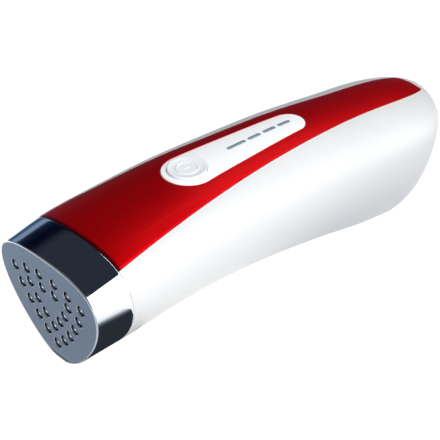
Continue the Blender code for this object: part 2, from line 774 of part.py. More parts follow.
def drop_rows(margin):
    """Places and half widths of the panel's outline, from its wide end to its narrow one."""
    wide, narrow = PANEL_WIDE_RADIUS + margin, PANEL_NARROW_RADIUS + margin
    lean = math.asin((wide - narrow) / (PANEL_NARROW_Y - PANEL_WIDE_Y))
    rows = []
    for i in range(PANEL_END_ROWS + 1):
        angle = (math.pi / 2 + lean) * i / PANEL_END_ROWS
        rows.append((PANEL_WIDE_Y - wide * math.cos(angle), wide * math.sin(angle)))
    start = rows[-1]
    end = (PANEL_NARROW_Y + narrow * math.sin(lean), narrow * math.cos(lean))
    for i in range(1, PANEL_ROWS):
        s = i / PANEL_ROWS
        rows.append((start[0] * (1 - s) + end[0] * s, start[1] * (1 - s) + end[1] * s))
    for i in range(PANEL_END_ROWS + 1):
        angle = math.pi / 2 + lean + (math.pi / 2 - lean) * i / PANEL_END_ROWS
        rows.append((PANEL_NARROW_Y - narrow * math.cos(angle), narrow * math.sin(angle)))
    return rows


def slot_rows(start, end, half):
    """Places and half widths of a round-ended bar."""
    rows = []
    for i in range(BAR_END_ROWS + 1):
        angle = math.pi / 2 * i / BAR_END_ROWS
        rows.append((start + half - half * math.cos(angle), half * math.sin(angle)))
    return rows + [(end - y + start, width) for y, width in reversed(rows)]


def crowned_solid(name, rows, top, bottom, frame, material=None):
    """A slab under the crown of the handle: rows of (y, half width), sunk from top to bottom."""
    points = []
    for inset in (top, bottom):
        for y, width in rows:
            for c in range(PANEL_CELLS + 1):
                x = width * (2 * c / PANEL_CELLS - 1)
                points.append((x, y, crown_height(x, y) - inset))
    across = PANEL_CELLS + 1
    lower = len(rows) * across
    faces = []
    for r in range(len(rows) - 1):
        a, b = r * across, (r + 1) * across
        for c in range(PANEL_CELLS):
            faces.append((a + c, a + c + 1, b + c + 1, b + c))
            faces.append((lower + a + c, lower + b + c, lower + b + c + 1, lower + a + c + 1))
        faces.append((a, b, lower + b, lower + a))
        a, b = a + PANEL_CELLS, b + PANEL_CELLS
        faces.append((a, lower + a, lower + b, b))
    return make_piece(name, points, faces, frame, True, material)


def panel_tilt():
    front = PANEL_WIDE_Y - PANEL_WIDE_RADIUS
    rear = PANEL_NARROW_Y + PANEL_NARROW_RADIUS
    return math.atan2(crown_height(0.0, rear) - crown_height(0.0, front), rear - front)


def panel_frame(head):
    """Axes of the button: z out of the panel, y along it."""
    place = (0.0, BUTTON_Y, crown_height(0.0, BUTTON_Y) + PANEL_PROUD)
    return frame_at("panel_frame", place, panel_tilt(), head)


def button_depths():
    """Depths below the panel: flange, its back, stem's tip, switch, board."""
    flange = PANEL_PROUD + WALL + FIT_GAP + PANEL_LIP_DEPTH + BUTTON_TIP_ALLOWANCE + FIT_GAP
    flange_back = flange + BUTTON_FLANGE_DEPTH
    stem = flange_back + STEM_LENGTH
    switch = stem + FIT_GAP + PLUNGER_SHOWS
    board = switch + SWITCH_HEIGHT + FIT_GAP
    return flange, flange_back, stem, switch, board


def bar_spans():
    return [(PANEL_WIDE_Y + start * PANEL_SPAN, PANEL_WIDE_Y + end * PANEL_SPAN)
            for start, end in BAR_SPAN_SHARES]


def post_places():
    return [(side * POST_SIDE, y) for y in (POST_FRONT, POST_REAR) for side in (-1, 1)]


def post_profile(radius, root, mouth, floor):
    """A post turned about z from its root to its mouth, with a blind screw hole down to floor."""
    hole = BOARD_SCREW_RADIUS + FIT_GAP
    return [(0.0, root), (radius, root), (radius, mouth), (hole, mouth), (hole, floor), (0.0, floor)]


def build_panel(head, panel):
    """The drop-shaped inlay: its face, a lip behind the cover, and four posts for the board."""
    _, _, _, _, board = button_depths()
    white = finish("white_panel", WHITE, 0.12, 0.0)
    lip_top = WALL + FIT_GAP
    lip_bottom = lip_top + PANEL_LIP_DEPTH
    inlay = crowned_solid("control_panel", drop_rows(0.0), -PANEL_PROUD, lip_bottom - PANEL_LIP_DEPTH / 2,
                          head, white)
    join(inlay, crowned_solid("lip_guide", drop_rows(PANEL_LIP), lip_top, lip_bottom, head))
    mouth = FIT_GAP - board
    profile = post_profile(POST_RADIUS, -lip_bottom, mouth, mouth + FIT_GAP + BOARD_SCREW_BITE)
    for i, (x, y) in enumerate(post_places()):
        join(inlay, turned(f"post_guide_{i + 1}", profile, panel, (x, y, 0.0), SCREW_SIDES))
    cut(inlay, bore("button_cutter", BUTTON_RADIUS + FIT_GAP, -lip_bottom - CUT_OVERRUN, CUT_OVERRUN,
                    (0.0, 0.0, 0.0), panel, "Z", BUTTON_SIDES))
    for i, (start, end) in enumerate(bar_spans()):
        rows = slot_rows(start - BAR_CLEARANCE, end + BAR_CLEARANCE, BAR_HALF_WIDTH + BAR_CLEARANCE)
        cut(inlay, crowned_solid(f"bar_cutter_{i + 1}", rows, -CUT_OVERRUN, lip_bottom + CUT_OVERRUN, head))
    return inlay


def cut_panel_opening(cover, head):
    cut(cover, crowned_solid("panel_cutter", drop_rows(FIT_GAP), -CUT_OVERRUN, WALL + CUT_OVERRUN, head))


def build_button(panel):
    """A round key with a shallow dish, a raised ring, a flange that keeps it in, and a stem."""
    flange, flange_back, stem, _, _ = button_depths()
    top = BUTTON_PROUD
    floor = top - BUTTON_DISH
    ring_top = floor + BUTTON_RING_RISE
    outer = BUTTON_RING_RADIUS + BUTTON_RING_WIDTH / 2
    inner = BUTTON_RING_RADIUS - BUTTON_RING_WIDTH / 2
    profile = [(0.0, floor), (inner, floor), (inner, ring_top), (outer, ring_top), (outer, floor),
               (BUTTON_RADIUS - 2 * BUTTON_EDGE, top), (BUTTON_RADIUS - BUTTON_EDGE, top),
               (BUTTON_RADIUS, top - BUTTON_EDGE), (BUTTON_RADIUS, -flange),
               (BUTTON_RADIUS + BUTTON_FLANGE, -flange), (BUTTON_RADIUS + BUTTON_FLANGE, -flange_back),
               (STEM_RADIUS, -flange_back), (STEM_RADIUS, -stem), (0.0, -stem)]
    return turned("power_button", profile, panel, (0.0, 0.0, 0.0), BUTTON_SIDES, "Z",
                  finish("white_button", WHITE, 0.15, 0.0))


def build_switch(panel):
    _, _, stem, switch, board = button_depths()
    body = block("switch_body", (SWITCH_SIDE, SWITCH_SIDE, SWITCH_HEIGHT), panel,
                 (0.0, 0.0, -switch - SWITCH_HEIGHT), finish("switch_black", BLACK, 0.45, 0.0))
    well = stem + FIT_GAP + PLUNGER_LENGTH + BUTTON_TRAVEL + FIT_GAP
    cut(body, bore("switch_cutter", PLUNGER_RADIUS + FIT_GAP, -well, CUT_OVERRUN - switch,
                   (0.0, 0.0, 0.0), panel, "Z"))
    start = -stem - FIT_GAP
    profile = [(0.0, start), (PLUNGER_RADIUS, start), (PLUNGER_RADIUS, start - PLUNGER_LENGTH),
               (0.0, start - PLUNGER_LENGTH)]
    turned("switch_plunger", profile, panel, (0.0, 0.0, 0.0), PART_SIDES, "Z",
           finish("plunger_cream", CREAM, 0.5, 0.0))


def local_to_panel(y):
    """Distance along the panel from the button to a place given from the face."""
    return (y - BUTTON_Y) / math.cos(panel_tilt())


def build_lights(head, panel):
    _, _, _, _, board = button_depths()
    pipe = finish("light_bar", LIGHT_BAR, 0.2, 0.0)
    led = finish("led_lens", LENS_AMBER, 0.2, 0.0)
    for i, (start, end) in enumerate(bar_spans()):
        rows = slot_rows(start, end, BAR_HALF_WIDTH)
        crowned_solid(f"light_bar_{i + 1}", rows, -PANEL_PROUD - BAR_PROUD, BAR_DEPTH, head, pipe)
        middle = local_to_panel((start + end) / 2)
        block(f"indicator_led_{i + 1}", (LED_WIDTH, LED_LENGTH, LED_HEIGHT), panel,
              (0.0, middle, -board + FIT_GAP), led)


def build_button_board(panel):
    _, _, _, _, depth = button_depths()
    length = BUTTON_BOARD_REAR + BUTTON_BOARD_FRONT
    board = block("button_board", (2 * BUTTON_BOARD_HALF_WIDTH, length, BUTTON_BOARD_THICKNESS), panel,
                  (0.0, BUTTON_BOARD_REAR - length / 2, -depth - BUTTON_BOARD_THICKNESS),
                  finish("board_green", BOARD_GREEN, 0.4, 0.0))
    under = depth + BUTTON_BOARD_THICKNESS
    for i, (x, y) in enumerate(post_places()):
        cut(board, bore(f"board_cutter_{i + 1}", BOARD_SCREW_RADIUS + FIT_GAP, -under - CUT_OVERRUN,
                        CUT_OVERRUN - depth, (x, y, 0.0), panel, "Z"))
        screw(f"board_screw_{i + 1}", BOARD_SCREW_RADIUS, BOARD_SCREW_HEAD, BOARD_SCREW_HEAD_DEPTH,
              depth - BOARD_SCREW_BITE, under + FIT_GAP, (x, y, 0.0), panel, "Z", -1.0)


def deck_frame(head):
    """Axes of the tray: level on the table, starting at the tray's front edge."""
    return frame_at("deck_frame", (0.0, TRAY_START, -TRAY_DROP), -TILT, head)


def deck_to_head(along_deck, height):
    y = TRAY_START + along_deck * math.cos(TILT) + height * math.sin(TILT)
    z = -TRAY_DROP - along_deck * math.sin(TILT) + height * math.cos(TILT)
    return y, z


def tray_post_places():
    rear = TRAY_END - TRAY_START - TRAY_POST_REAR_INSET
    front = MAIN_BOARD_START - TRAY_START + TRAY_POST_INSET
    side = MAIN_BOARD_HALF_WIDTH - TRAY_POST_INSET
    return [(s * side, y) for y in (front, rear) for s in (-1, 1)]


def build_tray(deck):
    """A flat tray whose edges follow the inside of the shell."""
    points = []
    length = TRAY_END - TRAY_START
    for height in (0.0, -TRAY_THICKNESS):
        for i in range(TRAY_ROWS + 1):
            place = length * i / TRAY_ROWS
            half = half_width_at(*deck_to_head(place, height), WALL) - FIT_GAP
            points += [(-half, place, height), (half, place, height)]
    lower = 2 * (TRAY_ROWS + 1)
    faces = [(0, lower, lower + 1, 1), (lower - 2, lower - 1, 2 * lower - 1, 2 * lower - 2)]
    for i in range(TRAY_ROWS):
        a = 2 * i
        faces += [(a, a + 1, a + 3, a + 2), (lower + a, lower + a + 2, lower + a + 3, lower + a + 1),
                  (a, a + 2, lower + a + 2, lower + a), (a + 1, lower + a + 1, lower + a + 3, a + 3)]
    tray = make_piece("board_tray", points, faces, deck, False, finish("tray_black", BLACK, 0.6, 0.0))
    profile = post_profile(TRAY_POST_RADIUS, -TRAY_THICKNESS / 2, TRAY_POST_HEIGHT,
                           TRAY_POST_HEIGHT - TRAY_SCREW_BITE)
    for i, (x, y) in enumerate(tray_post_places()):
        join(tray, turned(f"tray_post_guide_{i + 1}", profile, deck, (x, y, 0.0), SCREW_SIDES))
    return tray


def board_top():
    return TRAY_POST_HEIGHT + FIT_GAP + MAIN_BOARD_THICKNESS


def inlet_nose():
    """Where the inlet's nose ends along the deck, just inside the tail's wall."""
    height = board_top() + FIT_GAP + INLET_AXIS_HEIGHT - INLET_NOSE_RADIUS
    turns = [math.pi / 2 * i / UNDERSIDE_STEPS for i in range(UNDERSIDE_STEPS)]
    wall = [tail_ring(math.sin(a), WALL)[BELLY] for a in turns]
    level = Matrix.Rotation(TILT, 3, "X")
    start = level @ Vector((0.0, TRAY_START, -TRAY_DROP))
    line = [level @ p - start for p in wall]
    line = [p for p in line if p.y > max(q.y for q in line) / 2]
    line.sort(key=lambda p: p.z)
    return float(np.interp(height, [p.z for p in line], [p.y for p in line])) - INLET_SET_BACK


def main_board_span():
    return MAIN_BOARD_START - TRAY_START, inlet_nose() - MAIN_BOARD_SET_BACK


def along_board(share):
    start, end = main_board_span()
    return start * (1 - share) + end * share


def build_main_board(deck):
    start, end = main_board_span()
    bottom = TRAY_POST_HEIGHT + FIT_GAP
    board = block("main_board", (2 * MAIN_BOARD_HALF_WIDTH, end - start, MAIN_BOARD_THICKNESS), deck,
                  (0.0, (start + end) / 2, bottom), finish("board_green", BOARD_GREEN, 0.4, 0.0))
    seat = board_top() + FIT_GAP
    for i, (x, y) in enumerate(tray_post_places()):
        cut(board, bore(f"main_board_cutter_{i + 1}", BOARD_SCREW_RADIUS + FIT_GAP, bottom - CUT_OVERRUN,
                        seat + CUT_OVERRUN, (x, y, 0.0), deck, "Z"))
        screw(f"tray_screw_{i + 1}", BOARD_SCREW_RADIUS, BOARD_SCREW_HEAD, BOARD_SCREW_HEAD_DEPTH,
              bottom - TRAY_SCREW_BITE, seat, (x, y, 0.0), deck, "Z")


def build_board_parts(deck):
    black = finish("chip_black", BLACK, 0.5, 0.0)
    top = board_top() + FIT_GAP
    block("control_chip", (CHIP_WIDTH, CHIP_WIDTH, CHIP_HEIGHT), deck,
          (0.0, along_board(CHIP_PLACE_SHARE), top), black)
    block("driver_chip", (DRIVER_WIDTH, DRIVER_LENGTH, DRIVER_HEIGHT), deck,
          (DRIVER_SIDE, along_board(DRIVER_PLACE_SHARE), top), black)
    waist = COIL_RADIUS - COIL_WASTE
    coil = [(0.0, 0.0), (COIL_RADIUS, 0.0), (COIL_RADIUS, COIL_FLANGE), (waist, COIL_FLANGE),
            (waist, COIL_HEIGHT - COIL_FLANGE), (COIL_RADIUS, COIL_HEIGHT - COIL_FLANGE),
            (COIL_RADIUS, COIL_HEIGHT), (0.0, COIL_HEIGHT)]
    turned("boost_coil", coil, deck, (0.0, along_board(COIL_PLACE_SHARE), top), PART_SIDES, "Z",
           finish("copper", COPPER, 0.4, 0.8))
    groove, groove_end = CAP_GROOVE_PLACE, CAP_GROOVE_PLACE + CAP_GROOVE_WIDTH
    can = [(0.0, 0.0), (CAP_RADIUS, 0.0), (CAP_RADIUS, groove),
           (CAP_RADIUS - CAP_GROOVE, (groove + groove_end) / 2), (CAP_RADIUS, groove_end),
           (CAP_RADIUS, CAP_HEIGHT), (0.0, CAP_HEIGHT)]
    for i in range(CAP_COUNT):
        turned(f"capacitor_{i + 1}", can, deck, (0.0, along_board(CAP_PLACE_SHARE) + CAP_PITCH * i, top),
               PART_SIDES, "Z", finish("aluminium", ALUMINIUM, 0.4, 1.0))


def build_inlet(deck, shell):
    """The power socket on the board's end, and the hole that the plug enters through the tail."""
    nose = inlet_nose()
    back = nose - INLET_NOSE_LENGTH - INLET_LENGTH
    base = board_top() + FIT_GAP
    axis = (0.0, 0.0, base + INLET_AXIS_HEIGHT)
    body = block("dc_inlet", (INLET_WIDTH, INLET_LENGTH, INLET_HEIGHT), deck,
                 (0.0, back + INLET_LENGTH / 2, base), finish("inlet_black", BLACK, 0.4, 0.0))
    join(body, bore("nose_guide", INLET_NOSE_RADIUS, nose - 2 * INLET_NOSE_LENGTH, nose, axis, deck, "Y",
                    INLET_SIDES))
    floor = nose - INLET_BORE_DEPTH
    profile = [(INLET_PIN, floor), (INLET_PIN, nose - INLET_PIN_RECESS), (0.0, nose - INLET_PIN_RECESS),
               (0.0, nose + CUT_OVERRUN), (INLET_BORE, nose + CUT_OVERRUN), (INLET_BORE, floor)]
    cut(body, turned("inlet_cutter", profile, deck, axis, INLET_SIDES, "Y"))
    far = nose + INLET_SET_BACK + WALL + INLET_NOSE_RADIUS
    cut(shell, bore("tail_cutter", TAIL_HOLE_RADIUS, nose, far, axis, deck, "Y", INLET_SIDES))


def ribbon(name, start, end, headings, frame):
    """A flat lead bent through start and end, leaving along the given headings (y, z)."""
    handles = [Vector(p) + Vector(h) * LEAD_BEND for p, h in zip((start, end), headings)]
    curve = (tuple(start), tuple(handles[0]), tuple(handles[1]), tuple(end))
    line = [Vector(bezier(*curve, i / LEAD_ROWS)) for i in range(LEAD_ROWS + 1)]
    points = []
    for i, spot in enumerate(line):
        ahead = line[min(i + 1, LEAD_ROWS)] - line[max(i - 1, 0)]
        across = Vector((-ahead.y, ahead.x)).normalized() * LEAD_THICKNESS / 2
        for edge in (spot + across, spot - across):
            points += [(-LEAD_HALF_WIDTH, edge.x, edge.y), (LEAD_HALF_WIDTH, edge.x, edge.y)]
    faces = [(0, 1, 3, 2), tuple(4 * LEAD_ROWS + i for i in (2, 3, 1, 0))]
    for i in range(LEAD_ROWS):
        a, b = 4 * i, 4 * (i + 1)
        faces += [(a, b, b + 1, a + 1), (a + 2, a + 3, b + 3, b + 2), (a, a + 2, b + 2, b),
                  (a + 1, b + 1, b + 3, a + 3)]
    return make_piece(name, points, faces, frame, True, finish("lead_grey", PLATE_GREY, 0.5, 0.0))


def build_leads(head):
    """Flat leads from the head and from the button board to the main board."""
    lift = board_top() + FIT_GAP + LEAD_THICKNESS
    level = (-math.cos(TILT), math.sin(TILT))
    plug = (header_end() + 2 * FIT_GAP + PLUG_LENGTH, -FACE_MIDDLE_DROP)
    ribbon("head_lead", plug, deck_to_head(MAIN_BOARD_INSET + HEAD_LEAD_REACH, lift),
           ((1.0, 0.0), level), head)
    _, _, _, _, depth = button_depths()
    tilt = panel_tilt()
    out = (-math.cos(tilt), -math.sin(tilt))
    reach = BUTTON_BOARD_FRONT + FIT_GAP
    middle = depth + BUTTON_BOARD_THICKNESS / 2
    top = crown_height(0.0, BUTTON_Y) + PANEL_PROUD
    start = (BUTTON_Y + reach * out[0] + middle * math.sin(tilt),
             top + reach * out[1] - middle * math.cos(tilt))
    landing = deck_to_head(MAIN_BOARD_INSET + BUTTON_LEAD_REACH, lift)
    ribbon("button_lead", start, landing, (out, (-level[0], -level[1])), head)


def cut_rest_flats(head, pieces):
    """Small flats under the head and the heel, where the device touches the table."""
    table = frame_at("table_frame", (0.0, 0.0, FLOOR_HEIGHT), -TILT, head)
    size = (2 * BODY_HALF_WIDTH, BODY_LENGTH + 2 * TABLE_MARGIN, HEEL_FLAT + CUT_OVERRUN)
    cutter = block("table_cutter", size, table, (0.0, BODY_LENGTH / 2, -size[2]))
    for piece in pieces:
        cut(piece, cutter)


def rest_on_table(head, pieces):
    """Tips the head's frame so that the device stands on z = 0, centred over the origin."""
    turn = Matrix.Rotation(TILT, 3, "X")
    reach = [(turn @ v.co).y for piece in pieces for v in piece.data.vertices]
    head.rotation_euler = (TILT, 0.0, 0.0)
    head.location = (0.0, -(min(reach) + max(reach)) / 2, -FLOOR_HEIGHT * math.cos(TILT))


def build_device():
    head = frame_at("head_frame", (0.0, 0.0, 0.0), 0.0)
    panel = panel_frame(head)
    deck = deck_frame(head)
    plate = build_plate(head)
    build_emitter_board(head)
    build_seal(head)
    collar = build_collar(head)
    build_spreader(head)
    build_stack_screws(head)
    build_head_sensors(head)
    build_head_plug(head)
    shell = build_lower_shell(head)
    cover = build_top_cover(head)
    cut_panel_opening(cover, head)
    build_panel(head, panel)
    build_button(panel)
    build_switch(panel)
    build_lights(head, panel)
    build_button_board(panel)
    build_tray(deck)
    build_main_board(deck)
    build_board_parts(deck)
    build_inlet(deck, shell)
    build_leads(head)
    cut_rest_flats(head, (plate, collar, shell))
    rest_on_table(head, (plate, shell))


clear_scene()
build_device()
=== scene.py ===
"""The looks of a hand-held facial care device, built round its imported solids.

A satin treatment plate with 24 recessed emitters sits in a chrome collar.  Behind it an arched handle has a
glossy red cover on a glossy white shell, and a drop-shaped white panel with a round key and four light bars.
The pieces are laid out along the device's own axis: x is across, y runs from the treatment face to the tail
and z is up.  Each finished piece is then laid down on the table, head and heel touching it.
"""

import math

import bpy
import numpy as np
from mathutils import Matrix, Vector


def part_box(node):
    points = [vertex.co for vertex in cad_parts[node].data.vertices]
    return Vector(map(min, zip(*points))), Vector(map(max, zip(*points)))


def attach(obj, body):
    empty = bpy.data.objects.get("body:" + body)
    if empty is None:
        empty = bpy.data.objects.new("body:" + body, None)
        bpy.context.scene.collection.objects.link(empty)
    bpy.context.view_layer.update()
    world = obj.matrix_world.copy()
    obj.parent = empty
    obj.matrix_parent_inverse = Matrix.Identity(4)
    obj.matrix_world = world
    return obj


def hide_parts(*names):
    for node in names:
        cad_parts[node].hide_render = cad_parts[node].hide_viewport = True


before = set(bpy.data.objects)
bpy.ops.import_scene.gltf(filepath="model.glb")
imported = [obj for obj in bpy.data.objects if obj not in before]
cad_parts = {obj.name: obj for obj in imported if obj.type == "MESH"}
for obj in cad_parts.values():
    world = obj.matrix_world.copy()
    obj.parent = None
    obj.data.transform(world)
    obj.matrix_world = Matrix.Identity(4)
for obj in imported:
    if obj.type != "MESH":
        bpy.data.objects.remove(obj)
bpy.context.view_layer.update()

# Outline of the body, as the solids have it
BODY_LENGTH = 0.1671
TOP_RISE = 0.0159
HEEL_DROP = 0.0491
BODY_HALF_WIDTH = 0.0261
SEAM_HALF_WIDTH = 0.0213
STATION_SHARES = (0.0, 0.093, 0.224, 0.355, 0.485, 0.635, 0.784, 0.915)
TOP_SHARES = (0.831, 0.967, 1.0, 0.988, 0.884, 0.719, 0.439, 0.156)
BOTTOM_SHARES = (0.576, 0.566, 0.555, 0.582, 0.656, 0.781, 0.925, 1.0)
WIDEST_SHARES = (0.015, 0.012, 0.006, -0.022, -0.071, -0.133, -0.193, -0.222)
WIDTH_SHARES = (0.954, 1.0, 0.996, 0.982, 0.965, 0.939, 0.896, 0.864)
SEAM_SHARES = (0.994, 0.962, 0.853, 0.747, 0.634, 0.536, 0.440, 0.416)
CROWN_SHARES = (0.781, 0.615)
SHOULDER_SHARES = (0.656, 0.491)
FLANK_SHARES = (0.385, 0.548)
BELLY_SHARES = (0.397, 0.342)
TAIL_START = 0.1373
TAIL_CENTRE_DROP = 0.0036
TAIL_LEAN_SHARE = 0.267
TAIL_ROUND_SHARE = 3.1
LEAST_SHRINK_SHARE = 0.5
COVER_END = 0.1634
WALL = 0.0018
FIT_GAP = 0.0003

# How the body lies on the table
TILT = 0.13595043
TAIL_REACH = 0.166056
HEAD_HEIGHT = 0.0271895
HEAD_PLACE = (0.0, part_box("lower_shell")[1].y - TAIL_REACH, HEAD_HEIGHT)
LAID_DOWN = Matrix.Translation(HEAD_PLACE) @ Matrix.Rotation(TILT, 4, "X")

# Cells round a half section and along the body
CROWN_CELLS = 20
SHOULDER_CELLS = 18
BELLY_CELLS = 44
BODY_ROWS = 84
TAIL_ROWS = 20
END_ROWS = 12
HALVINGS = 40
SMALL_SIDES = 24

# Corners nearer than this are one, and those that a bevel leaves nearer than the second
MERGE_REACH = 1e-6
SLIVER_REACH = 1.5e-6

# The looks keep this far inside the solids' skin
SKIN = 0.00003

# Seams that show
SEAM_GAP = 0.00018
COLLAR_SEAM = 0.00001
FRONT_ROUND = 0.0010
EDGE_ROUND = 0.00016
CUTTER_RISE = 0.005
PANEL_GAP = 0.00016
OPENING_DEPTH = 0.004
OPENING_ROWS = 60
OPENING_END_ROWS = 40

# Treatment head
PLATE_DEPTH = 0.0026
PLATE_ROUND = 0.0007
PLATE_ROUND_ROWS = 8
FACE_BORDER = 0.0002
HOLE_RADIUS = 0.0019
HOLE_FLARE = 0.00020
HOLE_SIDES = 40
EMITTER_RADIUS = 0.0015
EMITTER_TOP = 0.0005
EMITTER_HEAD = 0.0014
EMITTER_STEM = 0.0009
EMITTER_LIFT = 0.0001
EMITTER_DOME = 0.00042
EMITTER_DOME_START = 0.35
EMITTER_DOME_ROWS = 6
EMITTER_SPOT = ((0.00030, 0.00010), (0.00040, 0.00002))
EMITTER_SIDES = 28
HEADER_WIDTH = 0.0084
HEADER_HEIGHT = 0.0034
HEADER_DROP = 0.0050
HEADER_PROUD = 0.0010
HEADER_EDGE = 0.0003
PATTERN_REACH = 0.02098
OUTER_LOOP_SHARES = ((0.186, 0.238), (0.511, 0.185), (0.817, 0.089), (0.706, -0.183),
                     (0.554, -0.425), (0.390, -0.645), (0.210, -0.832), (0.0, -1.0))
INNER_LOOP_SHARES = ((0.151, 0.0), (0.471, -0.050), (0.331, -0.291), (0.173, -0.486), (0.0, -0.665))
EMITTER_BOARD = 0.0016
SPREADER_DEPTH = 0.0030
STACK_INSET = 0.0039
LEDGE_WIDTH = 0.0042
LEDGE_DEPTH = 0.0016
LEDGE_BORE = 0.0012
BORE_OVERRUN = 0.002
COLLAR_END = 0.0137
COLLAR_SPIGOT = 0.0062
COLLAR_SPIGOT_WALL = 0.0015
COLLAR_ROUND = 0.0003
COLLAR_ROUND_ROWS = 5
COLLAR_ROWS = 12

# Power socket, its turned profiles as (radius, distance past the inlet's nose)
INLET_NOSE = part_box("dc_inlet")[1].y
SOCKET_AXIS = 0.035898
SOCKET_BLOCK = (0.0092, 0.0135, 0.0110)
SOCKET_FOOT = 0.0062
SOCKET_EDGE = 0.0004
SOCKET_SIDES = 64
NOSE_LENGTH = 0.0016
NOSE = ((0.0042, -0.0032), (0.0042, -0.0002), (0.0040, 0.0))
SOCKET_BORE = ((0.0010, -0.0095), (0.0010, -0.0018), (0.0006, -0.0014), (0.0002, -0.0014),
               (0.0002, 0.002), (0.0034, 0.002), (0.0030, -0.0003), (0.0030, -0.0095))
SHELL_HOLE = ((0.0034, 0.0), (0.0034, 0.0032), (0.0040, 0.0062), (0.0040, 0.02))

# Control panel, key and light bars
PANEL_PROUD = 0.0002
PANEL_WIDE_RADIUS = 0.0092
PANEL_NARROW_RADIUS = 0.0059
PANEL_WIDE_Y = 0.0600
PANEL_SPAN = 0.0443
PANEL_NARROW_Y = PANEL_WIDE_Y + PANEL_SPAN
PANEL_FOOT = 0.0008
PANEL_LIP = 0.0012
PANEL_LIP_DEPTH = 0.0009
PANEL_RIM = 0.0006
PANEL_ROWS = 70
PANEL_END_ROWS = 24
PANEL_CELLS = 28
LIP_RIM = 0.00001
LIP_CELLS = 12
LIP_ROWS = 30
POST_PROFILE = ((0.0018, -0.0028), (0.0018, -0.0093), (0.0011, -0.0093), (0.0011, -0.0060))
POST_SIDE = 0.0045
POST_PLACES = (0.0115, 0.0460)
BUTTON_Y = 0.0595
BUTTON_RADIUS = 0.0067
BUTTON_PROUD = 0.0005
BUTTON_DISH = 0.0003
BUTTON_RING_RADIUS = 0.0036
BUTTON_RING_WIDTH = 0.0005
BUTTON_RING_RISE = 0.0002
BUTTON_EDGE = 0.0004
BUTTON_EDGE_ROWS = 6
BUTTON_DISH_ROWS = 10
BUTTON_HUB = 0.0004
BUTTON_SOFT = 0.0001
BUTTON_SKIRT = 0.0040
BUTTON_FLANGE = 0.0010
BUTTON_FLANGE_FOOT = 0.0047
BUTTON_STEM = 0.0016
BUTTON_STEM_FOOT = 0.0057
BUTTON_SIDES = 96
STROKE = (0.0005, 0.0026, 0.0006)
STROKE_EDGE = 0.00012
WELL = ((0.00012, -0.006), (0.00012, -0.00025), (0.0007, 0.0004))
BAR_SPAN_SHARES = ((0.381, 0.562), (0.591, 0.713), (0.743, 0.865), (0.894, 1.016))
BAR_HALF_WIDTH = 0.00068
BAR_PROUD = 0.0001
BAR_CLEARANCE = 0.00008
BAR_DEPTH = 0.0075
BAR_RIM = 0.00015
BAR_TAPER = 1.0001
BAR_CELLS = 8
BAR_END_ROWS = 8
BAR_ROWS = 12
SLOT_FLARE = 0.00008
SLOT_DEPTH = 0.006
SLOT_ROWS = 4

# Depths behind the face where a finish starts to change, and over which it changes
# The red cover's painted shade along its front edge
RED_SHADE_START, RED_SHADE_WIDTH = COLLAR_END + 0.0006, 0.0010
RIM_START, RIM_WIDTH = 0.00006, 0.00006
TIP_START, TIP_WIDTH = 0.00080, -0.00034
# The emitters' painted highlight spot
GLINT_START, GLINT_WIDTH = 0.00040, -0.00003

# Camera and air, as fitted to the photograph
CAMERA_PLACE = (0.34908, -0.32481, 0.31414)
CAMERA_TARGET = (-0.00532, -0.00572, 0.02112)
CAMERA_ROLL = math.radians(1.19)
CAMERA_LENS = 133.522
AIR_COLOUR = (0.92, 0.95, 1.0, 1.0)
AIR_GLOW = 0.18
TABLE_SIZE = 8
TENT_RADIUS = 2.0
NAVY = (0.022, 0.029, 0.042)


def station_value(shares, size, y):
    """Smooth curve through the shares of a size at the stations, carried straight on past the last one."""
    places = np.array(STATION_SHARES) * BODY_LENGTH
    values = np.array(shares) * size
    spans = np.diff(places)
    steps = np.diff(values) / spans
    slopes = np.empty(len(places))
    slopes[0] = steps[0]
    slopes[-1] = steps[-1]
    slopes[1:-1] = (steps[:-1] * spans[1:] + steps[1:] * spans[:-1]) / (spans[:-1] + spans[1:])
    if y >= places[-1]:
        return values[-1] + slopes[-1] * (y - places[-1])
    i = min(max(int(np.searchsorted(places, y)) - 1, 0), len(places) - 2)
    h = places[i + 1] - places[i]
    s = (y - places[i]) / h
    near = (1 + 2 * s) * (1 - s) ** 2 * values[i] + s * (1 - s) ** 2 * h * slopes[i]
    far = s * s * (3 - 2 * s) * values[i + 1] + s * s * (s - 1) * h * slopes[i + 1]
    return near + far


def along(shares, y):
    s = min(max(y / BODY_LENGTH, 0.0), 1.0)
    return shares[0] * (1 - s) + shares[1] * s


def section_curves(y, inset=0.0):
    """The curve from crown to widest point, the one from there to the belly, and the seam's half width."""
    top = station_value(TOP_SHARES, TOP_RISE, y) - inset
    bottom = inset - station_value(BOTTOM_SHARES, HEEL_DROP, y)
    widest = station_value(WIDEST_SHARES, HEEL_DROP, y)
    half = station_value(WIDTH_SHARES, BODY_HALF_WIDTH, y) - inset
    upper = np.array(((0.0, top), (along(CROWN_SHARES, y) * half, top),
                      (half, widest + along(SHOULDER_SHARES, y) * (top - widest)), (half, widest)))
    lower = np.array(((half, widest), (half, widest - along(FLANK_SHARES, y) * (widest - bottom)),
                      (along(BELLY_SHARES, y) * half, bottom), (0.0, bottom)))
    return upper, lower, station_value(SEAM_SHARES, SEAM_HALF_WIDTH, y)


def on_curve(curve, u):
    u = np.asarray(u)[:, None]
    v = 1 - u
    return v ** 3 * curve[0] + 3 * v * v * u * curve[1] + 3 * v * u * u * curve[2] + u ** 3 * curve[3]


def share_at_side(curve, sides):
    """How far along the crown curve the half width reaches each of the sides."""
    low, high = np.zeros(len(sides)), np.ones(len(sides))
    for _ in range(HALVINGS):
        middle = (low + high) / 2
        short = on_curve(curve, middle)[:, 0] < sides
        low = np.where(short, middle, low)
        high = np.where(short, high, middle)
    return low


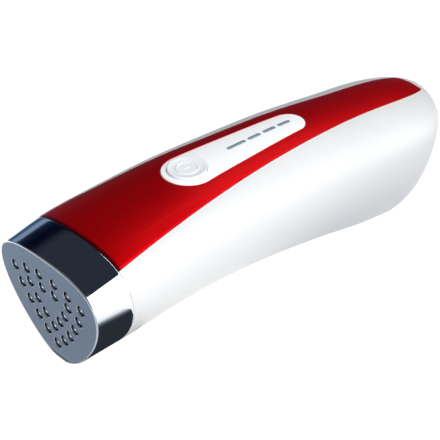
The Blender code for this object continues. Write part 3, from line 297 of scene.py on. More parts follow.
def half_outline(y, inset, seam_shift):
    """Points from the crown's middle line over the seam to the belly's middle line."""
    upper, lower, seam = section_curves(y, inset)
    sides = (seam + seam_shift) * np.linspace(0, 1, CROWN_CELLS + 1)
    shares = share_at_side(upper, sides)
    crown = on_curve(upper, shares)
    shoulder = on_curve(upper, shares[-1] + (1 - shares[-1]) * np.linspace(0, 1, SHOULDER_CELLS + 1)[1:])
    belly = on_curve(lower, np.linspace(0, 1, BELLY_CELLS + 1)[1:])
    return np.vstack((crown, shoulder, belly))


def section_ring(y, inset, seam_shift=0.0, reach=0.0):
    """A closed cross-section at y; round the tail it shrinks and leans as reach runs from 0 to 1."""
    shrink = max(1 - reach ** TAIL_ROUND_SHARE, 0.0) ** (1 / TAIL_ROUND_SHARE)
    half = half_outline(y, inset, seam_shift / max(shrink, LEAST_SHRINK_SHARE))
    full = np.vstack((half, half[-2:0:-1] * (-1, 1)))
    height = (full[:, 1] + TAIL_CENTRE_DROP) * shrink - TAIL_CENTRE_DROP
    lean = TAIL_LEAN_SHARE * (height + TAIL_CENTRE_DROP) * reach
    return np.column_stack((full[:, 0] * shrink, y + lean, height))


def tail_ring(reach, seam_shift):
    return section_ring(TAIL_START + (BODY_LENGTH - SKIN - TAIL_START) * reach, SKIN, seam_shift, reach)


def crown_height(xs, y):
    """Height of the handle's top over the points xs at y."""
    upper, _, _ = section_curves(y)
    return on_curve(upper, share_at_side(upper, np.abs(xs)))[:, 1]


def body_rings(start, seam_shift):
    """Rings from start to the tail's tip, with one ring where the red cover ends, and that ring's number."""
    rings = [section_ring(y, SKIN, seam_shift) for y in np.linspace(start, TAIL_START, BODY_ROWS + 1)]
    split = math.asin((COVER_END - TAIL_START) / (BODY_LENGTH - TAIL_START))
    angles = list(np.linspace(0, split, TAIL_ROWS + 1)[1:])
    angles += list(np.linspace(split, math.pi / 2, END_ROWS + 1)[1:])
    rings += [tail_ring(math.sin(angle), seam_shift) for angle in angles]
    return rings, BODY_ROWS + TAIL_ROWS


# Working at the mesh

def only(piece):
    """Leaves one piece selected and active."""
    bpy.ops.object.select_all(action="DESELECT")
    piece.select_set(True)
    bpy.context.view_layer.objects.active = piece


def open_all(piece, kind=None):
    """Opens a piece for editing with all of it selected, as edges or faces where a kind is given."""
    only(piece)
    bpy.ops.object.mode_set(mode="EDIT")
    if kind:
        bpy.ops.mesh.select_mode(type=kind)
    bpy.ops.mesh.select_all(action="SELECT")


def shut():
    bpy.ops.object.mode_set(mode="OBJECT")


def pick(piece, kind, chosen):
    """Opens a piece for editing with just the chosen edges or faces selected."""
    open_all(piece, kind)
    bpy.ops.mesh.select_all(action="DESELECT")
    shut()
    parts = {"EDGE": piece.data.edges, "FACE": piece.data.polygons}[kind]
    parts.foreach_set("select", np.asarray(chosen, dtype=bool))
    bpy.ops.object.mode_set(mode="EDIT")


def close_up(piece, reach=MERGE_REACH):
    """Merges what meets and turns every face outwards."""
    open_all(piece)
    bpy.ops.mesh.remove_doubles(threshold=reach)
    bpy.ops.mesh.normals_make_consistent(inside=False)
    shut()


def cap_ends(piece, in_triangles=False):
    """Fills the open ends of a wall and turns every face outwards."""
    open_all(piece, "EDGE")
    bpy.ops.mesh.select_non_manifold(extend=False)
    bpy.ops.mesh.edge_face_add()
    bpy.ops.mesh.select_all(action="SELECT")
    if in_triangles:
        bpy.ops.mesh.quads_convert_to_tris()
    bpy.ops.mesh.normals_make_consistent(inside=False)
    shut()


def added(name):
    piece = bpy.context.active_object
    piece.name = name
    piece.data.name = name
    return piece


def read(parts, field, width=3, kind=float):
    """One field of all of a mesh's vertices, edges or faces, a row for each."""
    values = np.empty(len(parts) * width, dtype=kind)
    parts.foreach_get(field, values)
    return values.reshape(-1, width)


def corners_of(piece):
    return read(piece.data.vertices, "co")


def place_corners(piece, places):
    piece.data.vertices.foreach_set("co", np.asarray(places).ravel())
    piece.data.update()


def wrapped_grid(name, rows):
    """A grid sheet of one row of cells between each two rows of points, laid on those points."""
    bpy.ops.mesh.primitive_grid_add(x_subdivisions=len(rows[0]) - 1, y_subdivisions=len(rows) - 1)
    sheet = added(name)
    place_corners(sheet, np.vstack(rows))
    return sheet


def closed_rows(rings):
    return [np.vstack((ring, ring[:1])) for ring in rings]


def hoop(name, profile, capped=False):
    """A solid that follows the body's section; profile is (y, inset) points, closed unless it is capped."""
    loop = profile if capped else profile + profile[:1]
    piece = wrapped_grid(name, closed_rows([section_ring(y + SKIN, inset + SKIN) for y, inset in loop]))
    close_up(piece)
    if capped:
        cap_ends(piece)
    return piece


def lathe(name, profile, sides, hollow=False):
    """A piece turned about z: a circle at the first (radius, height), drawn and resized to each next one."""
    radius, height = profile[0]
    bpy.ops.mesh.primitive_circle_add(vertices=sides, radius=radius)
    piece = added(name)
    open_all(piece, "EDGE")
    bpy.ops.transform.translate(value=(0, 0, height))
    for next_radius, next_height in profile[1:]:
        bpy.ops.mesh.extrude_region_move(TRANSFORM_OT_translate={"value": (0, 0, next_height - height)})
        share = next_radius / radius
        bpy.ops.transform.resize(value=(share, share, 1), center_override=(0, 0, next_height))
        radius, height = next_radius, next_height
    if hollow:
        bpy.ops.mesh.select_non_manifold()
        bpy.ops.mesh.bridge_edge_loops()
    else:
        bpy.ops.mesh.edge_face_add()
        bpy.ops.mesh.select_non_manifold(extend=False)
        bpy.ops.mesh.edge_face_add()
    bpy.ops.mesh.select_all(action="SELECT")
    bpy.ops.mesh.normals_make_consistent(inside=False)
    shut()
    return piece


def cube(name, size, centre, edge):
    """A box with softened edges."""
    bpy.ops.mesh.primitive_cube_add(size=1)
    piece = added(name)
    piece.data.transform(Matrix.Translation(centre) @ Matrix.Diagonal((*size, 1)))
    open_all(piece)
    bpy.ops.mesh.bevel(offset=edge, segments=3, affect="EDGES")
    shut()
    return piece


def turned_copy(piece, matrix):
    copy = piece.copy()
    copy.data = piece.data.copy()
    bpy.context.scene.collection.objects.link(copy)
    copy.data.transform(matrix)
    return copy


def gathered(pieces, name):
    """Joins several pieces into one object."""
    only(pieces[0])
    for piece in pieces:
        piece.select_set(True)
    bpy.ops.object.join()
    pieces[0].name = name
    return pieces[0]


def apply_step(piece, kind, **settings):
    """Adds a modifier with these settings and applies it."""
    only(piece)
    step = piece.modifiers.new(kind.lower(), kind)
    for key, value in settings.items():
        setattr(step, key, value)
    bpy.ops.object.modifier_apply(modifier=step.name)


def carve(piece, cutter, operation="DIFFERENCE"):
    """Cuts or joins one closed piece with another, which is then gone."""
    apply_step(piece, "BOOLEAN", operation=operation, solver="EXACT", object=cutter)
    bpy.data.objects.remove(cutter, do_unlink=True)


def smooth(piece, angle=30):
    only(piece)
    bpy.ops.object.shade_smooth_by_angle(angle=math.radians(angle))


def outline_rows(start, end, wide, narrow, end_rows, straight_rows):
    """Places and half widths of a long shape with a round end of each radius, from its wide end on."""
    lean = math.asin((wide - narrow) / (end - start))
    turn = math.pi / 2 + lean
    rows = [(start - wide * math.cos(a), wide * math.sin(a)) for a in np.linspace(0, turn, end_rows + 1)]
    last = (end + narrow * math.sin(lean), narrow * math.cos(lean))
    first = rows[-1]
    for s in np.linspace(0, 1, straight_rows + 1)[1:-1]:
        rows.append((first[0] * (1 - s) + last[0] * s, first[1] * (1 - s) + last[1] * s))
    rows += [(end - narrow * math.cos(a), narrow * math.sin(a))
             for a in np.linspace(turn, math.pi, end_rows + 1)]
    return rows


def depth_inside(xs, y, start, end, wide, narrow):
    """How far points lie inside that outline."""
    lean = math.asin((wide - narrow) / (end - start))
    across, ahead = np.abs(xs), y - start
    place = ahead * math.cos(lean) - across * math.sin(lean)
    wide_end = wide - np.hypot(across, ahead)
    narrow_end = narrow - np.hypot(across, ahead - (end - start))
    flank = wide - across * math.cos(lean) - ahead * math.sin(lean)
    past = place > (end - start) * math.cos(lean)
    return np.where(place < 0, wide_end, np.where(past, narrow_end, flank))


def rim_drop(depth, rim):
    """How far a rounded rim falls away at each depth inside the outline."""
    short = np.clip(rim - depth, 0, rim)
    return rim - np.sqrt(rim * rim - short * short)


def crowned_slab(name, outline, proud, depth, rim, cells, end_rows, straight_rows):
    """A slab that lies in the crown of the handle, with a rounded rim; outline is (start, end, radii)."""
    rows = []
    for y, width in outline_rows(*outline, end_rows, straight_rows):
        xs = width * np.sin(np.linspace(-math.pi / 2, math.pi / 2, cells + 1))
        heights = crown_height(xs, y) + proud - rim_drop(depth_inside(xs, y, *outline), rim)
        rows.append(np.column_stack((xs, np.full(len(xs), y), heights)))
    slab = wrapped_grid(name, rows)
    open_all(slab, "FACE")
    bpy.ops.mesh.extrude_region_move(TRANSFORM_OT_translate={"value": (0, 0, -depth)})
    bpy.ops.mesh.select_all(action="SELECT")
    bpy.ops.mesh.remove_doubles(threshold=MERGE_REACH)
    bpy.ops.mesh.quads_convert_to_tris()
    bpy.ops.mesh.normals_make_consistent(inside=False)
    shut()
    return slab


def crowned_cutter(name, start, end, wide, narrow, margin, flare, depth, end_rows, straight_rows):
    """A plug of that outline, wider by margin, flared at the crown of the handle and standing clear of it."""
    levels = ((flare, -CUTTER_RISE), (flare, 0.0), (0.0, flare), (0.0, depth))
    rings = []
    for extra, inset in levels:
        more = margin + extra
        rows = outline_rows(start, end, wide + more, narrow + more, end_rows, straight_rows)
        right = [(x, y) for y, x in rows]
        loop = right + [(-x, y) for x, y in right[-2:0:-1]]
        rings.append(np.array([(x, y, crown_height(np.array([x]), y)[0] - inset) for x, y in loop]))
    cutter = wrapped_grid(name, closed_rows(rings))
    close_up(cutter)
    cap_ends(cutter, in_triangles=True)
    return cutter


PANEL_OUTLINE = (PANEL_WIDE_Y, PANEL_NARROW_Y, PANEL_WIDE_RADIUS, PANEL_NARROW_RADIUS)


def panel_matrix():
    """From the key's own axes, z out of the panel and y along it, to the device's."""
    front = PANEL_WIDE_Y - PANEL_WIDE_RADIUS
    rear = PANEL_NARROW_Y + PANEL_NARROW_RADIUS
    rise = crown_height(np.zeros(1), rear)[0] - crown_height(np.zeros(1), front)[0]
    place = (0.0, BUTTON_Y, crown_height(np.zeros(1), BUTTON_Y)[0] + PANEL_PROUD)
    return Matrix.Translation(place) @ Matrix.Rotation(math.atan2(rise, rear - front), 4, "X")


PANEL_AXES = panel_matrix()
TOWARDS_TAIL = Matrix.Rotation(-math.pi / 2, 4, "X")


def lay_down(piece, body, slot, finish, *nodes):
    """Puts a finished piece on the table, flat where it touches, and gives it its body, finish and nodes."""
    piece.data.transform(LAID_DOWN)
    settle(piece, body, slot, finish, *nodes)


def dress(piece, finish):
    piece.data.materials.clear()
    piece.data.materials.append(finish)


def settle(piece, body, slot, finish, *nodes):
    places = corners_of(piece)
    places[:, 2] = np.maximum(places[:, 2], 0.0)
    place_corners(piece, places)
    dress(piece, finish)
    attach(piece, body)
    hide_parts(*nodes)


# Finishes

class Value:
    """A shader socket that can be used in sums with numbers and with others of its kind."""

    def __init__(self, finish, socket):
        self.finish = finish
        self.socket = socket

    def sum(self, operation, first, second):
        return self.finish.add("ShaderNodeMath", {"operation": operation}, {0: first, 1: second})

    def __add__(self, other):
        return self.sum("ADD", self, other)

    def __sub__(self, other):
        return self.sum("SUBTRACT", self, other)

    def __rsub__(self, other):
        return self.sum("SUBTRACT", other, self)

    def __mul__(self, other):
        return self.sum("MULTIPLY", self, other)

    def __truediv__(self, other):
        return self.sum("DIVIDE", self, other)

    def __gt__(self, other):
        return self.sum("GREATER_THAN", self, other)

    def clamped(self):
        return self.finish.add("ShaderNodeClamp", {}, {"Value": self})


class Finish:
    """One material: its shader, and a way to add any node."""

    def __init__(self, name, **constants):
        self.material = bpy.data.materials.new(name)
        self.material.use_nodes = True
        self.tree = self.material.node_tree
        self.shader = self.tree.nodes["Principled BSDF"]
        self.set(**constants)

    def add(self, kind, settings, sockets, output=0):
        """A node of this kind, its settings made first, then its sockets' values or links."""
        node = self.tree.nodes.new(kind)
        for key, value in settings.items():
            if key == "stops":
                self.stops(node.color_ramp, value)
            else:
                setattr(node, key, value)
        for key, value in sockets.items():
            self.feed(node.inputs[key], value)
        return Value(self, node.outputs[output])

    def stops(self, ramp, stops):
        while len(ramp.elements) < len(stops):
            ramp.elements.new(1.0)
        for element, (place, colour) in zip(ramp.elements, stops):
            element.position = place
            element.color = (*colour, 1.0)

    def feed(self, socket, value):
        if isinstance(value, Value):
            self.tree.links.new(value.socket, socket)
        else:
            socket.default_value = value

    def set(self, **values):
        for key, value in values.items():
            name = key.replace("_", " ").title().replace("Ior", "IOR")
            self.feed(self.shader.inputs[name], self.colour(value))

    def place(self):
        return self.add("ShaderNodeTexCoord", {}, {}, "Object")

    def parts(self, vector):
        """The three numbers of a place."""
        node = self.add("ShaderNodeSeparateXYZ", {}, {0: vector}).socket.node
        return [Value(self, output) for output in node.outputs]

    def noise(self, size, detail=3.0, roughness=0.5, stretch=(1.0, 1.0, 1.0)):
        """Even mottling with spots of about this size in metres."""
        vector = self.place()
        if stretch != (1.0, 1.0, 1.0):
            vector = self.add("ShaderNodeMapping", {}, {"Vector": vector, "Scale": stretch})
        return self.add("ShaderNodeTexNoise", {}, {"Vector": vector, "Scale": 1 / size, "Detail": detail,
                                                   "Roughness": roughness}, "Fac")

    def blend(self, share, first, second):
        """A colour between two others."""
        sockets = {0: share, 6: self.colour(first), 7: self.colour(second)}
        return self.add("ShaderNodeMix", {"data_type": "RGBA"}, sockets, 2)

    def colour(self, value):
        return (*value, 1.0) if isinstance(value, tuple) else value

    def bump(self, height, depth, strength):
        """Raises the surface by height times depth in metres."""
        self.feed(self.shader.inputs["Normal"], self.add("ShaderNodeBump", {}, {
            "Height": height, "Distance": depth, "Strength": strength}))


def gloss_plastic(name, colour, deeper, roughness, coat):
    """Moulded gloss plastic under a clear lacquer: faint orange peel, slight drift of tone, fine dust."""
    finish = Finish(name, coat_weight=coat, coat_roughness=0.03, specular_ior_level=0.3)
    drift = finish.noise(0.03, 2.0)
    dust = finish.noise(0.0009, 4.0, 0.6)
    finish.set(base_color=finish.blend((drift * 0.7 + dust * 0.3), colour, deeper),
               roughness=(dust * 0.05 + drift * 0.04 + (roughness - 0.045)))
    finish.bump(finish.noise(0.004, 2.0) * 0.8 + dust * 0.2, 0.000004, 0.35)
    return finish.material


def candy_red():
    """Deep metallic red under clear lacquer, with painted shade that darkens it along its front edge by the
    collar.
    """
    finish = Finish("candy_red_cover", metallic=0.8, coat_weight=0.02, coat_roughness=0.04,
                    specular_ior_level=0.15)
    drift = finish.noise(0.03, 2.0)
    flake = finish.noise(0.0003, 3.0, 0.7)
    # Painted shade: near the collar the base colour turns dark red, standing in for the shade on the cover's
    # rounded front edge
    inner = ((depth_behind_face(finish) - RED_SHADE_START) / RED_SHADE_WIDTH).clamped()
    red = finish.blend(drift * 0.5 + flake * 0.5, (0.62, 0.0, 0.003), (0.56, 0.0, 0.002))
    finish.set(base_color=finish.blend(inner, (0.10, 0.0, 0.004), red),
               roughness=(flake * 0.08 + 0.38))
    finish.bump(flake * 0.3 + finish.noise(0.004, 2.0) * 0.7, 0.000004, 0.3)
    return finish.material


def chrome_finish():
    """Bright chrome plate with faint wipe marks and a breath of haze."""
    finish = Finish("bright_chrome", metallic=1.0)
    haze = finish.noise(0.012, 3.0)
    wipes = finish.noise(0.0007, 2.0, 0.5, (1.0, 0.12, 1.0))
    finish.set(base_color=finish.blend(haze, (0.80, 0.82, 0.85), (0.88, 0.89, 0.91)),
               roughness=(haze * 0.03 + wipes * 0.025 + 0.02))
    finish.bump(wipes, 0.0000015, 0.3)
    return finish.material


def satin_plate_finish():
    """Bead-blasted satin metal on the flat face, turning to polished chrome round the plate's rim."""
    finish = Finish("satin_plate")
    grain = finish.noise(0.00022, 3.0, 0.6)
    drift = finish.noise(0.018, 2.0)
    rim = ((depth_behind_face(finish) - RIM_START) / RIM_WIDTH).clamped()
    satin = finish.blend(grain * 0.5 + drift * 0.5, (0.20, 0.25, 0.31), (0.26, 0.31, 0.37))
    finish.set(base_color=finish.blend(rim, satin, (0.84, 0.86, 0.88)),
               roughness=(rim * -0.30 + grain * 0.08 + 0.34), metallic=(rim * 0.15 + 0.85))
    finish.bump(grain, 0.000006, 0.35)
    return finish.material


def emitter_finish():
    """Blue-grey emitter tips, each with a pale painted highlight spot at its top, over a dark body."""
    finish = Finish("emitter_tips")
    grain = finish.noise(0.0002, 3.0, 0.6)
    depth = depth_behind_face(finish)
    tip = ((depth - TIP_START) / TIP_WIDTH).clamped()
    # Painted highlight: the top of each tip turns pale, standing in for a glint
    spot = ((depth - GLINT_START) / GLINT_WIDTH).clamped()
    glass = finish.blend(grain, (0.12, 0.165, 0.22), (0.17, 0.22, 0.28))
    lens = finish.blend(spot, glass, (0.85, 0.90, 0.95))
    finish.set(base_color=finish.blend(tip, (0.022, 0.034, 0.052), lens),
               roughness=(grain * 0.10 + 0.30), metallic=tip * 0.5)
    finish.bump(grain, 0.000005, 0.4)
    return finish.material


def depth_behind_face(finish):
    """How far a point lies behind the treatment face, along the body's own axis."""
    _, y, z = finish.parts(finish.place())
    face = HEAD_PLACE[1] * math.cos(TILT) + HEAD_PLACE[2] * math.sin(TILT)
    return y * math.cos(TILT) + z * math.sin(TILT) - face


def grained(name, colour, other, size, roughness, metallic=0.0, depth=0.000005, stretch=(1.0, 1.0, 1.0)):
    """A moulded, cast or drawn finish with an even grain."""
    finish = Finish(name, metallic=metallic)
    grain = finish.noise(size, 4.0, 0.6, stretch)
    drift = finish.noise(size * 25, 2.0)
    finish.set(base_color=finish.blend(grain * 0.6 + drift * 0.4, colour, other),
               roughness=(grain * 0.14 + drift * 0.06 + (roughness - 0.10)))
    finish.bump(grain, depth, 0.5)
    return finish.material


def board_finish():
    """Solder mask with tracks that show through, and tinned pads."""
    finish = Finish("green_board")
    place = finish.place()
    tracks = finish.add("ShaderNodeTexBrick", {"offset": 0.37, "squash": 1.0}, {
        "Vector": place, "Scale": 420.0, "Mortar Size": 0.06, "Mortar Smooth": 0.4,
        "Brick Width": 1.6, "Row Height": 0.42}, "Fac")
    pads = finish.add("ShaderNodeTexVoronoi", {}, {"Vector": place, "Scale": 330.0}, "Distance")
    pad = (0.16 - pads) > 0.0
    mask = finish.blend(tracks * 0.8, (0.012, 0.11, 0.045), (0.03, 0.22, 0.09))
    finish.set(base_color=finish.blend(pad, mask, (0.62, 0.62, 0.60)), metallic=pad * 0.9,
               roughness=(finish.noise(0.0006) * 0.12 + 0.28))
    finish.bump(tracks * 0.6 + pad * 0.4, 0.00002, 0.5)
    return finish.material


def coil_finish():
    """Enamelled copper turns."""
    finish = Finish("coil_copper", metallic=0.85)
    turns = finish.add("ShaderNodeTexWave", {"wave_type": "BANDS", "bands_direction": "Z"}, {
        "Vector": finish.place(), "Scale": 900.0, "Distortion": 0.3, "Detail": 1.0}, "Fac")
    finish.set(base_color=finish.blend(turns, (0.30, 0.10, 0.03), (0.72, 0.34, 0.15)),
               roughness=(turns * -0.12 + 0.42))
    finish.bump(turns, 0.00006, 0.7)
    return finish.material


def light_bar_finish():
    """Smoked light pipe with a cloudy tone, dim while the device is off."""
    finish = Finish("smoked_light_bar", coat_weight=0.6, coat_roughness=0.05, ior=1.49)
    cloud = finish.noise(0.0012, 3.0)
    finish.set(base_color=finish.blend(cloud, (0.13, 0.20, 0.26), (0.22, 0.30, 0.36)),
               roughness=(cloud * 0.10 + 0.20))
    finish.bump(cloud, 0.000008, 0.3)
    return finish.material


WHITE_SHELL = gloss_plastic("white_gloss_shell", (0.56, 0.563, 0.565), (0.54, 0.545, 0.55), 0.34, 0.03)
WHITE_PANEL = gloss_plastic("white_gloss_panel", (0.82, 0.83, 0.845), (0.79, 0.805, 0.825), 0.20, 0.08)
WHITE_KEY = gloss_plastic("white_gloss_key", (0.72, 0.745, 0.775), (0.69, 0.72, 0.755), 0.20, 0.15)
RED_COVER = candy_red()
CHROME = chrome_finish()
PLATE = satin_plate_finish()
EMITTER = emitter_finish()
LIGHT_BAR = light_bar_finish()
SOCKET_BLACK = grained("socket_black", (0.014, 0.014, 0.016), (0.03, 0.03, 0.034), 0.0003, 0.45)


def numbered(stem, count):
    return [f"{stem}_{number}" for number in range(1, count + 1)]


# Finishes of the pieces that stay as the solids have them
CARRIED_OVER = (
    (grained("tray_black", (0.016, 0.016, 0.018), (0.032, 0.033, 0.036), 0.0005, 0.62), ["board_tray"]),
    (grained("chip_black", (0.012, 0.012, 0.013), (0.026, 0.026, 0.028), 0.00015, 0.55),
     ["switch_body", "control_chip", "driver_chip"]),
    (grained("seal_rubber", (0.010, 0.010, 0.011), (0.022, 0.022, 0.023), 0.0004, 0.80), ["plate_seal"]),
    (grained("screw_steel", (0.48, 0.49, 0.50), (0.64, 0.64, 0.64), 0.0003, 0.34, 1.0, 0.000003, (1, 1, 6)),
     numbered("stack_screw", 3) + numbered("board_screw", 4) + numbered("tray_screw", 4)),
    (grained("brushed_aluminium", (0.62, 0.63, 0.65), (0.76, 0.77, 0.78), 0.0004, 0.38, 1.0,
             0.000004, (1, 1, 9)),
     ["heat_spreader", "capacitor_1", "capacitor_2"]),
    (grained("cream_plastic", (0.70, 0.65, 0.54), (0.82, 0.78, 0.67), 0.0005, 0.52),
     ["head_plug", "switch_plunger"]),
    (grained("cream_ceramic", (0.66, 0.62, 0.54), (0.80, 0.76, 0.68), 0.0002, 0.66), ["thermal_cutout"]),
    (grained("sensor_glass", (0.42, 0.34, 0.22), (0.60, 0.52, 0.38), 0.0008, 0.20), ["temperature_sensor"]),
    (grained("led_lens", (0.70, 0.68, 0.58), (0.84, 0.82, 0.74), 0.0006, 0.22), numbered("indicator_led", 4)),
    (grained("flat_lead_grey", (0.26, 0.29, 0.33), (0.42, 0.45, 0.49), 0.0006, 0.50, 0.0,
             0.00002, (10, 1, 1)),
     ["head_lead", "button_lead"]),
    (board_finish(), ["button_board", "main_board"]),
    (coil_finish(), ["boost_coil"]),
)


# Treatment head

def pattern_places():
    """The two rows of holes, mirrored about the middle."""
    places = []
    for side, rise in OUTER_LOOP_SHARES + INNER_LOOP_SHARES:
        places.append((side * PATTERN_REACH, rise * PATTERN_REACH))
        if side > 0:
            places.append((-side * PATTERN_REACH, rise * PATTERN_REACH))
    return places


def spread(piece, places, name):
    """Copies a turned piece to every place across the head, its axis along the device's."""
    copies = [turned_copy(piece, Matrix.Translation((x, 0.0, z)) @ TOWARDS_TAIL) for x, z in places]
    bpy.data.objects.remove(piece, do_unlink=True)
    return gathered(copies, name)


def make_treatment_plate():
    """The plate: a flat face with a border, a rounded rim, and a flared hole over each emitter."""
    profile = [(0.0, PLATE_ROUND + FACE_BORDER)]
    for angle in np.linspace(0, math.pi / 2, PLATE_ROUND_ROWS + 1):
        profile.append((PLATE_ROUND * (1 - math.cos(angle)), PLATE_ROUND * (1 - math.sin(angle))))
    profile += [(PLATE_DEPTH, 0.0)]
    plate = hoop("treatment_plate_face", profile, capped=True)
    drill = lathe("plate_drill", [(HOLE_RADIUS + 2 * HOLE_FLARE, -HOLE_FLARE), (HOLE_RADIUS, HOLE_FLARE),
                                  (HOLE_RADIUS, PLATE_DEPTH + HOLE_FLARE)], HOLE_SIDES)
    carve(plate, spread(drill, pattern_places(), "plate_drills"))
    smooth(plate)
    lay_down(plate, "device_body", "plate_grey", PLATE, "treatment_plate")


def make_emitters():
    """The emitter board with a domed emitter under each hole, and the header at its back."""
    front = PLATE_DEPTH + FIT_GAP
    board = hoop("emitter_array", [(front, STACK_INSET), (front + EMITTER_BOARD, STACK_INSET)], capped=True)
    reach = front + EMITTER_BOARD / 2
    top = EMITTER_TOP - EMITTER_LIFT
    spot = [(radius, top - rise) for radius, rise in EMITTER_SPOT]
    dome = [(EMITTER_RADIUS * math.sin(angle), top + EMITTER_DOME * (1 - math.cos(angle)))
            for angle in np.linspace(EMITTER_DOME_START, math.pi / 2, EMITTER_DOME_ROWS)]
    neck = EMITTER_TOP + EMITTER_HEAD
    stem = [(EMITTER_RADIUS, neck), (EMITTER_STEM, neck), (EMITTER_STEM, reach)]
    pin = lathe("emitter_pin", spot + dome + stem, EMITTER_SIDES)
    carve(board, spread(pin, pattern_places(), "emitter_pins"), "UNION")
    end = front + EMITTER_BOARD + FIT_GAP + SPREADER_DEPTH + HEADER_PROUD
    header = cube("emitter_header", (HEADER_WIDTH, end - reach, HEADER_HEIGHT),
                  (0.0, (reach + end) / 2, -HEADER_DROP), HEADER_EDGE)
    carve(board, header, "UNION")
    smooth(board)
    lay_down(board, "device_body", "emitter_black", EMITTER, "emitter_board")


def make_chrome_collar():
    """The chrome hoop with softly rounded edges, its ledge for the head's pieces and its spigot."""
    front = PLATE_DEPTH + COLLAR_SEAM
    r = COLLAR_ROUND
    turn = np.linspace(0, math.pi / 2, COLLAR_ROUND_ROWS)
    ledge = PLATE_DEPTH + FIT_GAP + EMITTER_BOARD + FIT_GAP + SPREADER_DEPTH + FIT_GAP
    ledge_back = ledge + LEDGE_DEPTH
    spigot_end = COLLAR_END + COLLAR_SPIGOT
    inner = WALL + FIT_GAP + COLLAR_SPIGOT_WALL
    profile = [(y, 0.0) for y in np.linspace(front, COLLAR_END, COLLAR_ROWS)[:-1]]
    profile += [(COLLAR_END - r * (1 - math.sin(a)), r * (1 - math.cos(a))) for a in turn]
    profile += [(COLLAR_END, WALL + FIT_GAP), (spigot_end, WALL + FIT_GAP), (spigot_end, inner)]
    profile += [(ledge_back, inner), (ledge_back, STACK_INSET + LEDGE_WIDTH)]
    profile += [(ledge, STACK_INSET + LEDGE_WIDTH), (ledge, WALL), (front, WALL)]
    collar = hoop("chrome_head_collar", profile)
    bore = lathe("ledge_bore", [(LEDGE_BORE, ledge - BORE_OVERRUN), (LEDGE_BORE, ledge_back + BORE_OVERRUN)],
                 SMALL_SIDES)
    carve(collar, spread(bore, ledge_screw_places(), "ledge_bores"))
    smooth(collar)
    lay_down(collar, "device_body", "chrome", CHROME, "chrome_collar")


def ledge_screw_places():
    """Where the three screws of the head pass the ledge, read from the screws themselves."""
    places = []
    for name in numbered("stack_screw", 3):
        low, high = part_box(name)
        middle = LAID_DOWN.inverted() @ ((low + high) / 2)
        places.append((middle.x, middle.z))
    return places


# Handle

def make_red_cover():
    """The red cover: a sheet over the crown, given its wall, a rounded front edge and the panel's opening."""
    rings, last = body_rings(COLLAR_END + COLLAR_SEAM, -SEAM_GAP / 2)
    order = np.arange(-CROWN_CELLS, CROWN_CELLS + 1)
    rows = [ring[order] for ring in rings[:last + 1]]
    rows[-1][:, 1] -= SEAM_GAP / 2
    cover = wrapped_grid("red_top_cover", rows)
    face_outwards(cover)
    finish_wall(cover, len(order))
    carve(cover, crowned_cutter("panel_opening", *PANEL_OUTLINE, PANEL_GAP, PANEL_GAP, OPENING_DEPTH,
                                OPENING_END_ROWS, OPENING_ROWS))
    smooth(cover, 32)
    lay_down(cover, "device_body", "red_cover", RED_COVER, "top_cover")


def face_outwards(sheet):
    """Turns an open sheet so that its faces point away from the body's middle line."""
    away = read(sheet.data.polygons, "center") * (1, 0, 1)
    if (away * read(sheet.data.polygons, "normal")).sum() < 0:
        open_all(sheet)
        bpy.ops.mesh.flip_normals()
        shut()


def finish_wall(sheet, front_count):
    """Gives a sheet its wall, rounds its front edge and softens the others."""
    apply_step(sheet, "SOLIDIFY", thickness=WALL, offset=-1.0, use_even_offset=True)
    places = corners_of(sheet)
    front = places[:, 1] < places[:, 1].min() + 1e-5
    front[front_count:] = False
    pick(sheet, "EDGE", front[read(sheet.data.edges, "vertices", 2, int)].all(axis=1))
    bpy.ops.mesh.bevel(offset=FRONT_ROUND, segments=5, affect="EDGES")
    shut()
    apply_step(sheet, "BEVEL", width=EDGE_ROUND, segments=2, limit_method="ANGLE",
               angle_limit=math.radians(50), miter_outer="MITER_ARC")
    close_up(sheet, SLIVER_REACH)


def make_white_shell():
    """The white shell: a sheet round the flanks, belly and tail, with the socket's hole in the tail."""
    rings, last = body_rings(COLLAR_END + COLLAR_SEAM, SEAM_GAP / 2)
    rows = closed_rows(rings)
    rows[last][:, 1] += SEAM_GAP / 2
    shell = wrapped_grid("white_lower_shell", rows)
    columns = len(rows[0]) - 1
    cells = np.arange(len(shell.data.polygons))
    row, column = cells // columns, cells % columns
    crown = (row < last) & ((column < CROWN_CELLS) | (column >= columns - CROWN_CELLS))
    pick(shell, "FACE", crown)
    bpy.ops.mesh.delete(type="FACE")
    shut()
    face_outwards(shell)
    front = columns - 2 * CROWN_CELLS + 1
    open_all(shell)
    bpy.ops.mesh.remove_doubles(threshold=MERGE_REACH)
    shut()
    finish_wall(shell, front)
    shell.data.transform(LAID_DOWN)
    carve(shell, socket_turning("socket_hole", SHELL_HOLE))
    smooth(shell, 32)
    settle(shell, "device_body", "white_shell", WHITE_SHELL, "lower_shell")


def socket_turning(name, profile, hollow=False):
    """A piece turned about the socket's axis, its profile measured from the inlet's nose."""
    piece = lathe(name, [(radius, INLET_NOSE + ahead) for radius, ahead in profile], SOCKET_SIDES, hollow)
    piece.data.transform(Matrix.Translation((0.0, 0.0, SOCKET_AXIS)) @ TOWARDS_TAIL)
    return piece


def make_power_socket():
    """The power socket: a block with a round nose, a bore and a centre pin."""
    _, length, height = SOCKET_BLOCK
    centre = (0.0, INLET_NOSE - NOSE_LENGTH - length / 2, SOCKET_AXIS - SOCKET_FOOT + height / 2)
    block = cube("power_socket", SOCKET_BLOCK, centre, SOCKET_EDGE)
    carve(block, socket_turning("socket_nose", NOSE), "UNION")
    carve(block, socket_turning("socket_bore", SOCKET_BORE, hollow=True))
    smooth(block)
    settle(block, "device_body", "black_plastic", SOCKET_BLACK, "dc_inlet")


# Control panel

def bar_spans():
    return [(PANEL_WIDE_Y + a * PANEL_SPAN, PANEL_WIDE_Y + b * PANEL_SPAN) for a, b in BAR_SPAN_SHARES]


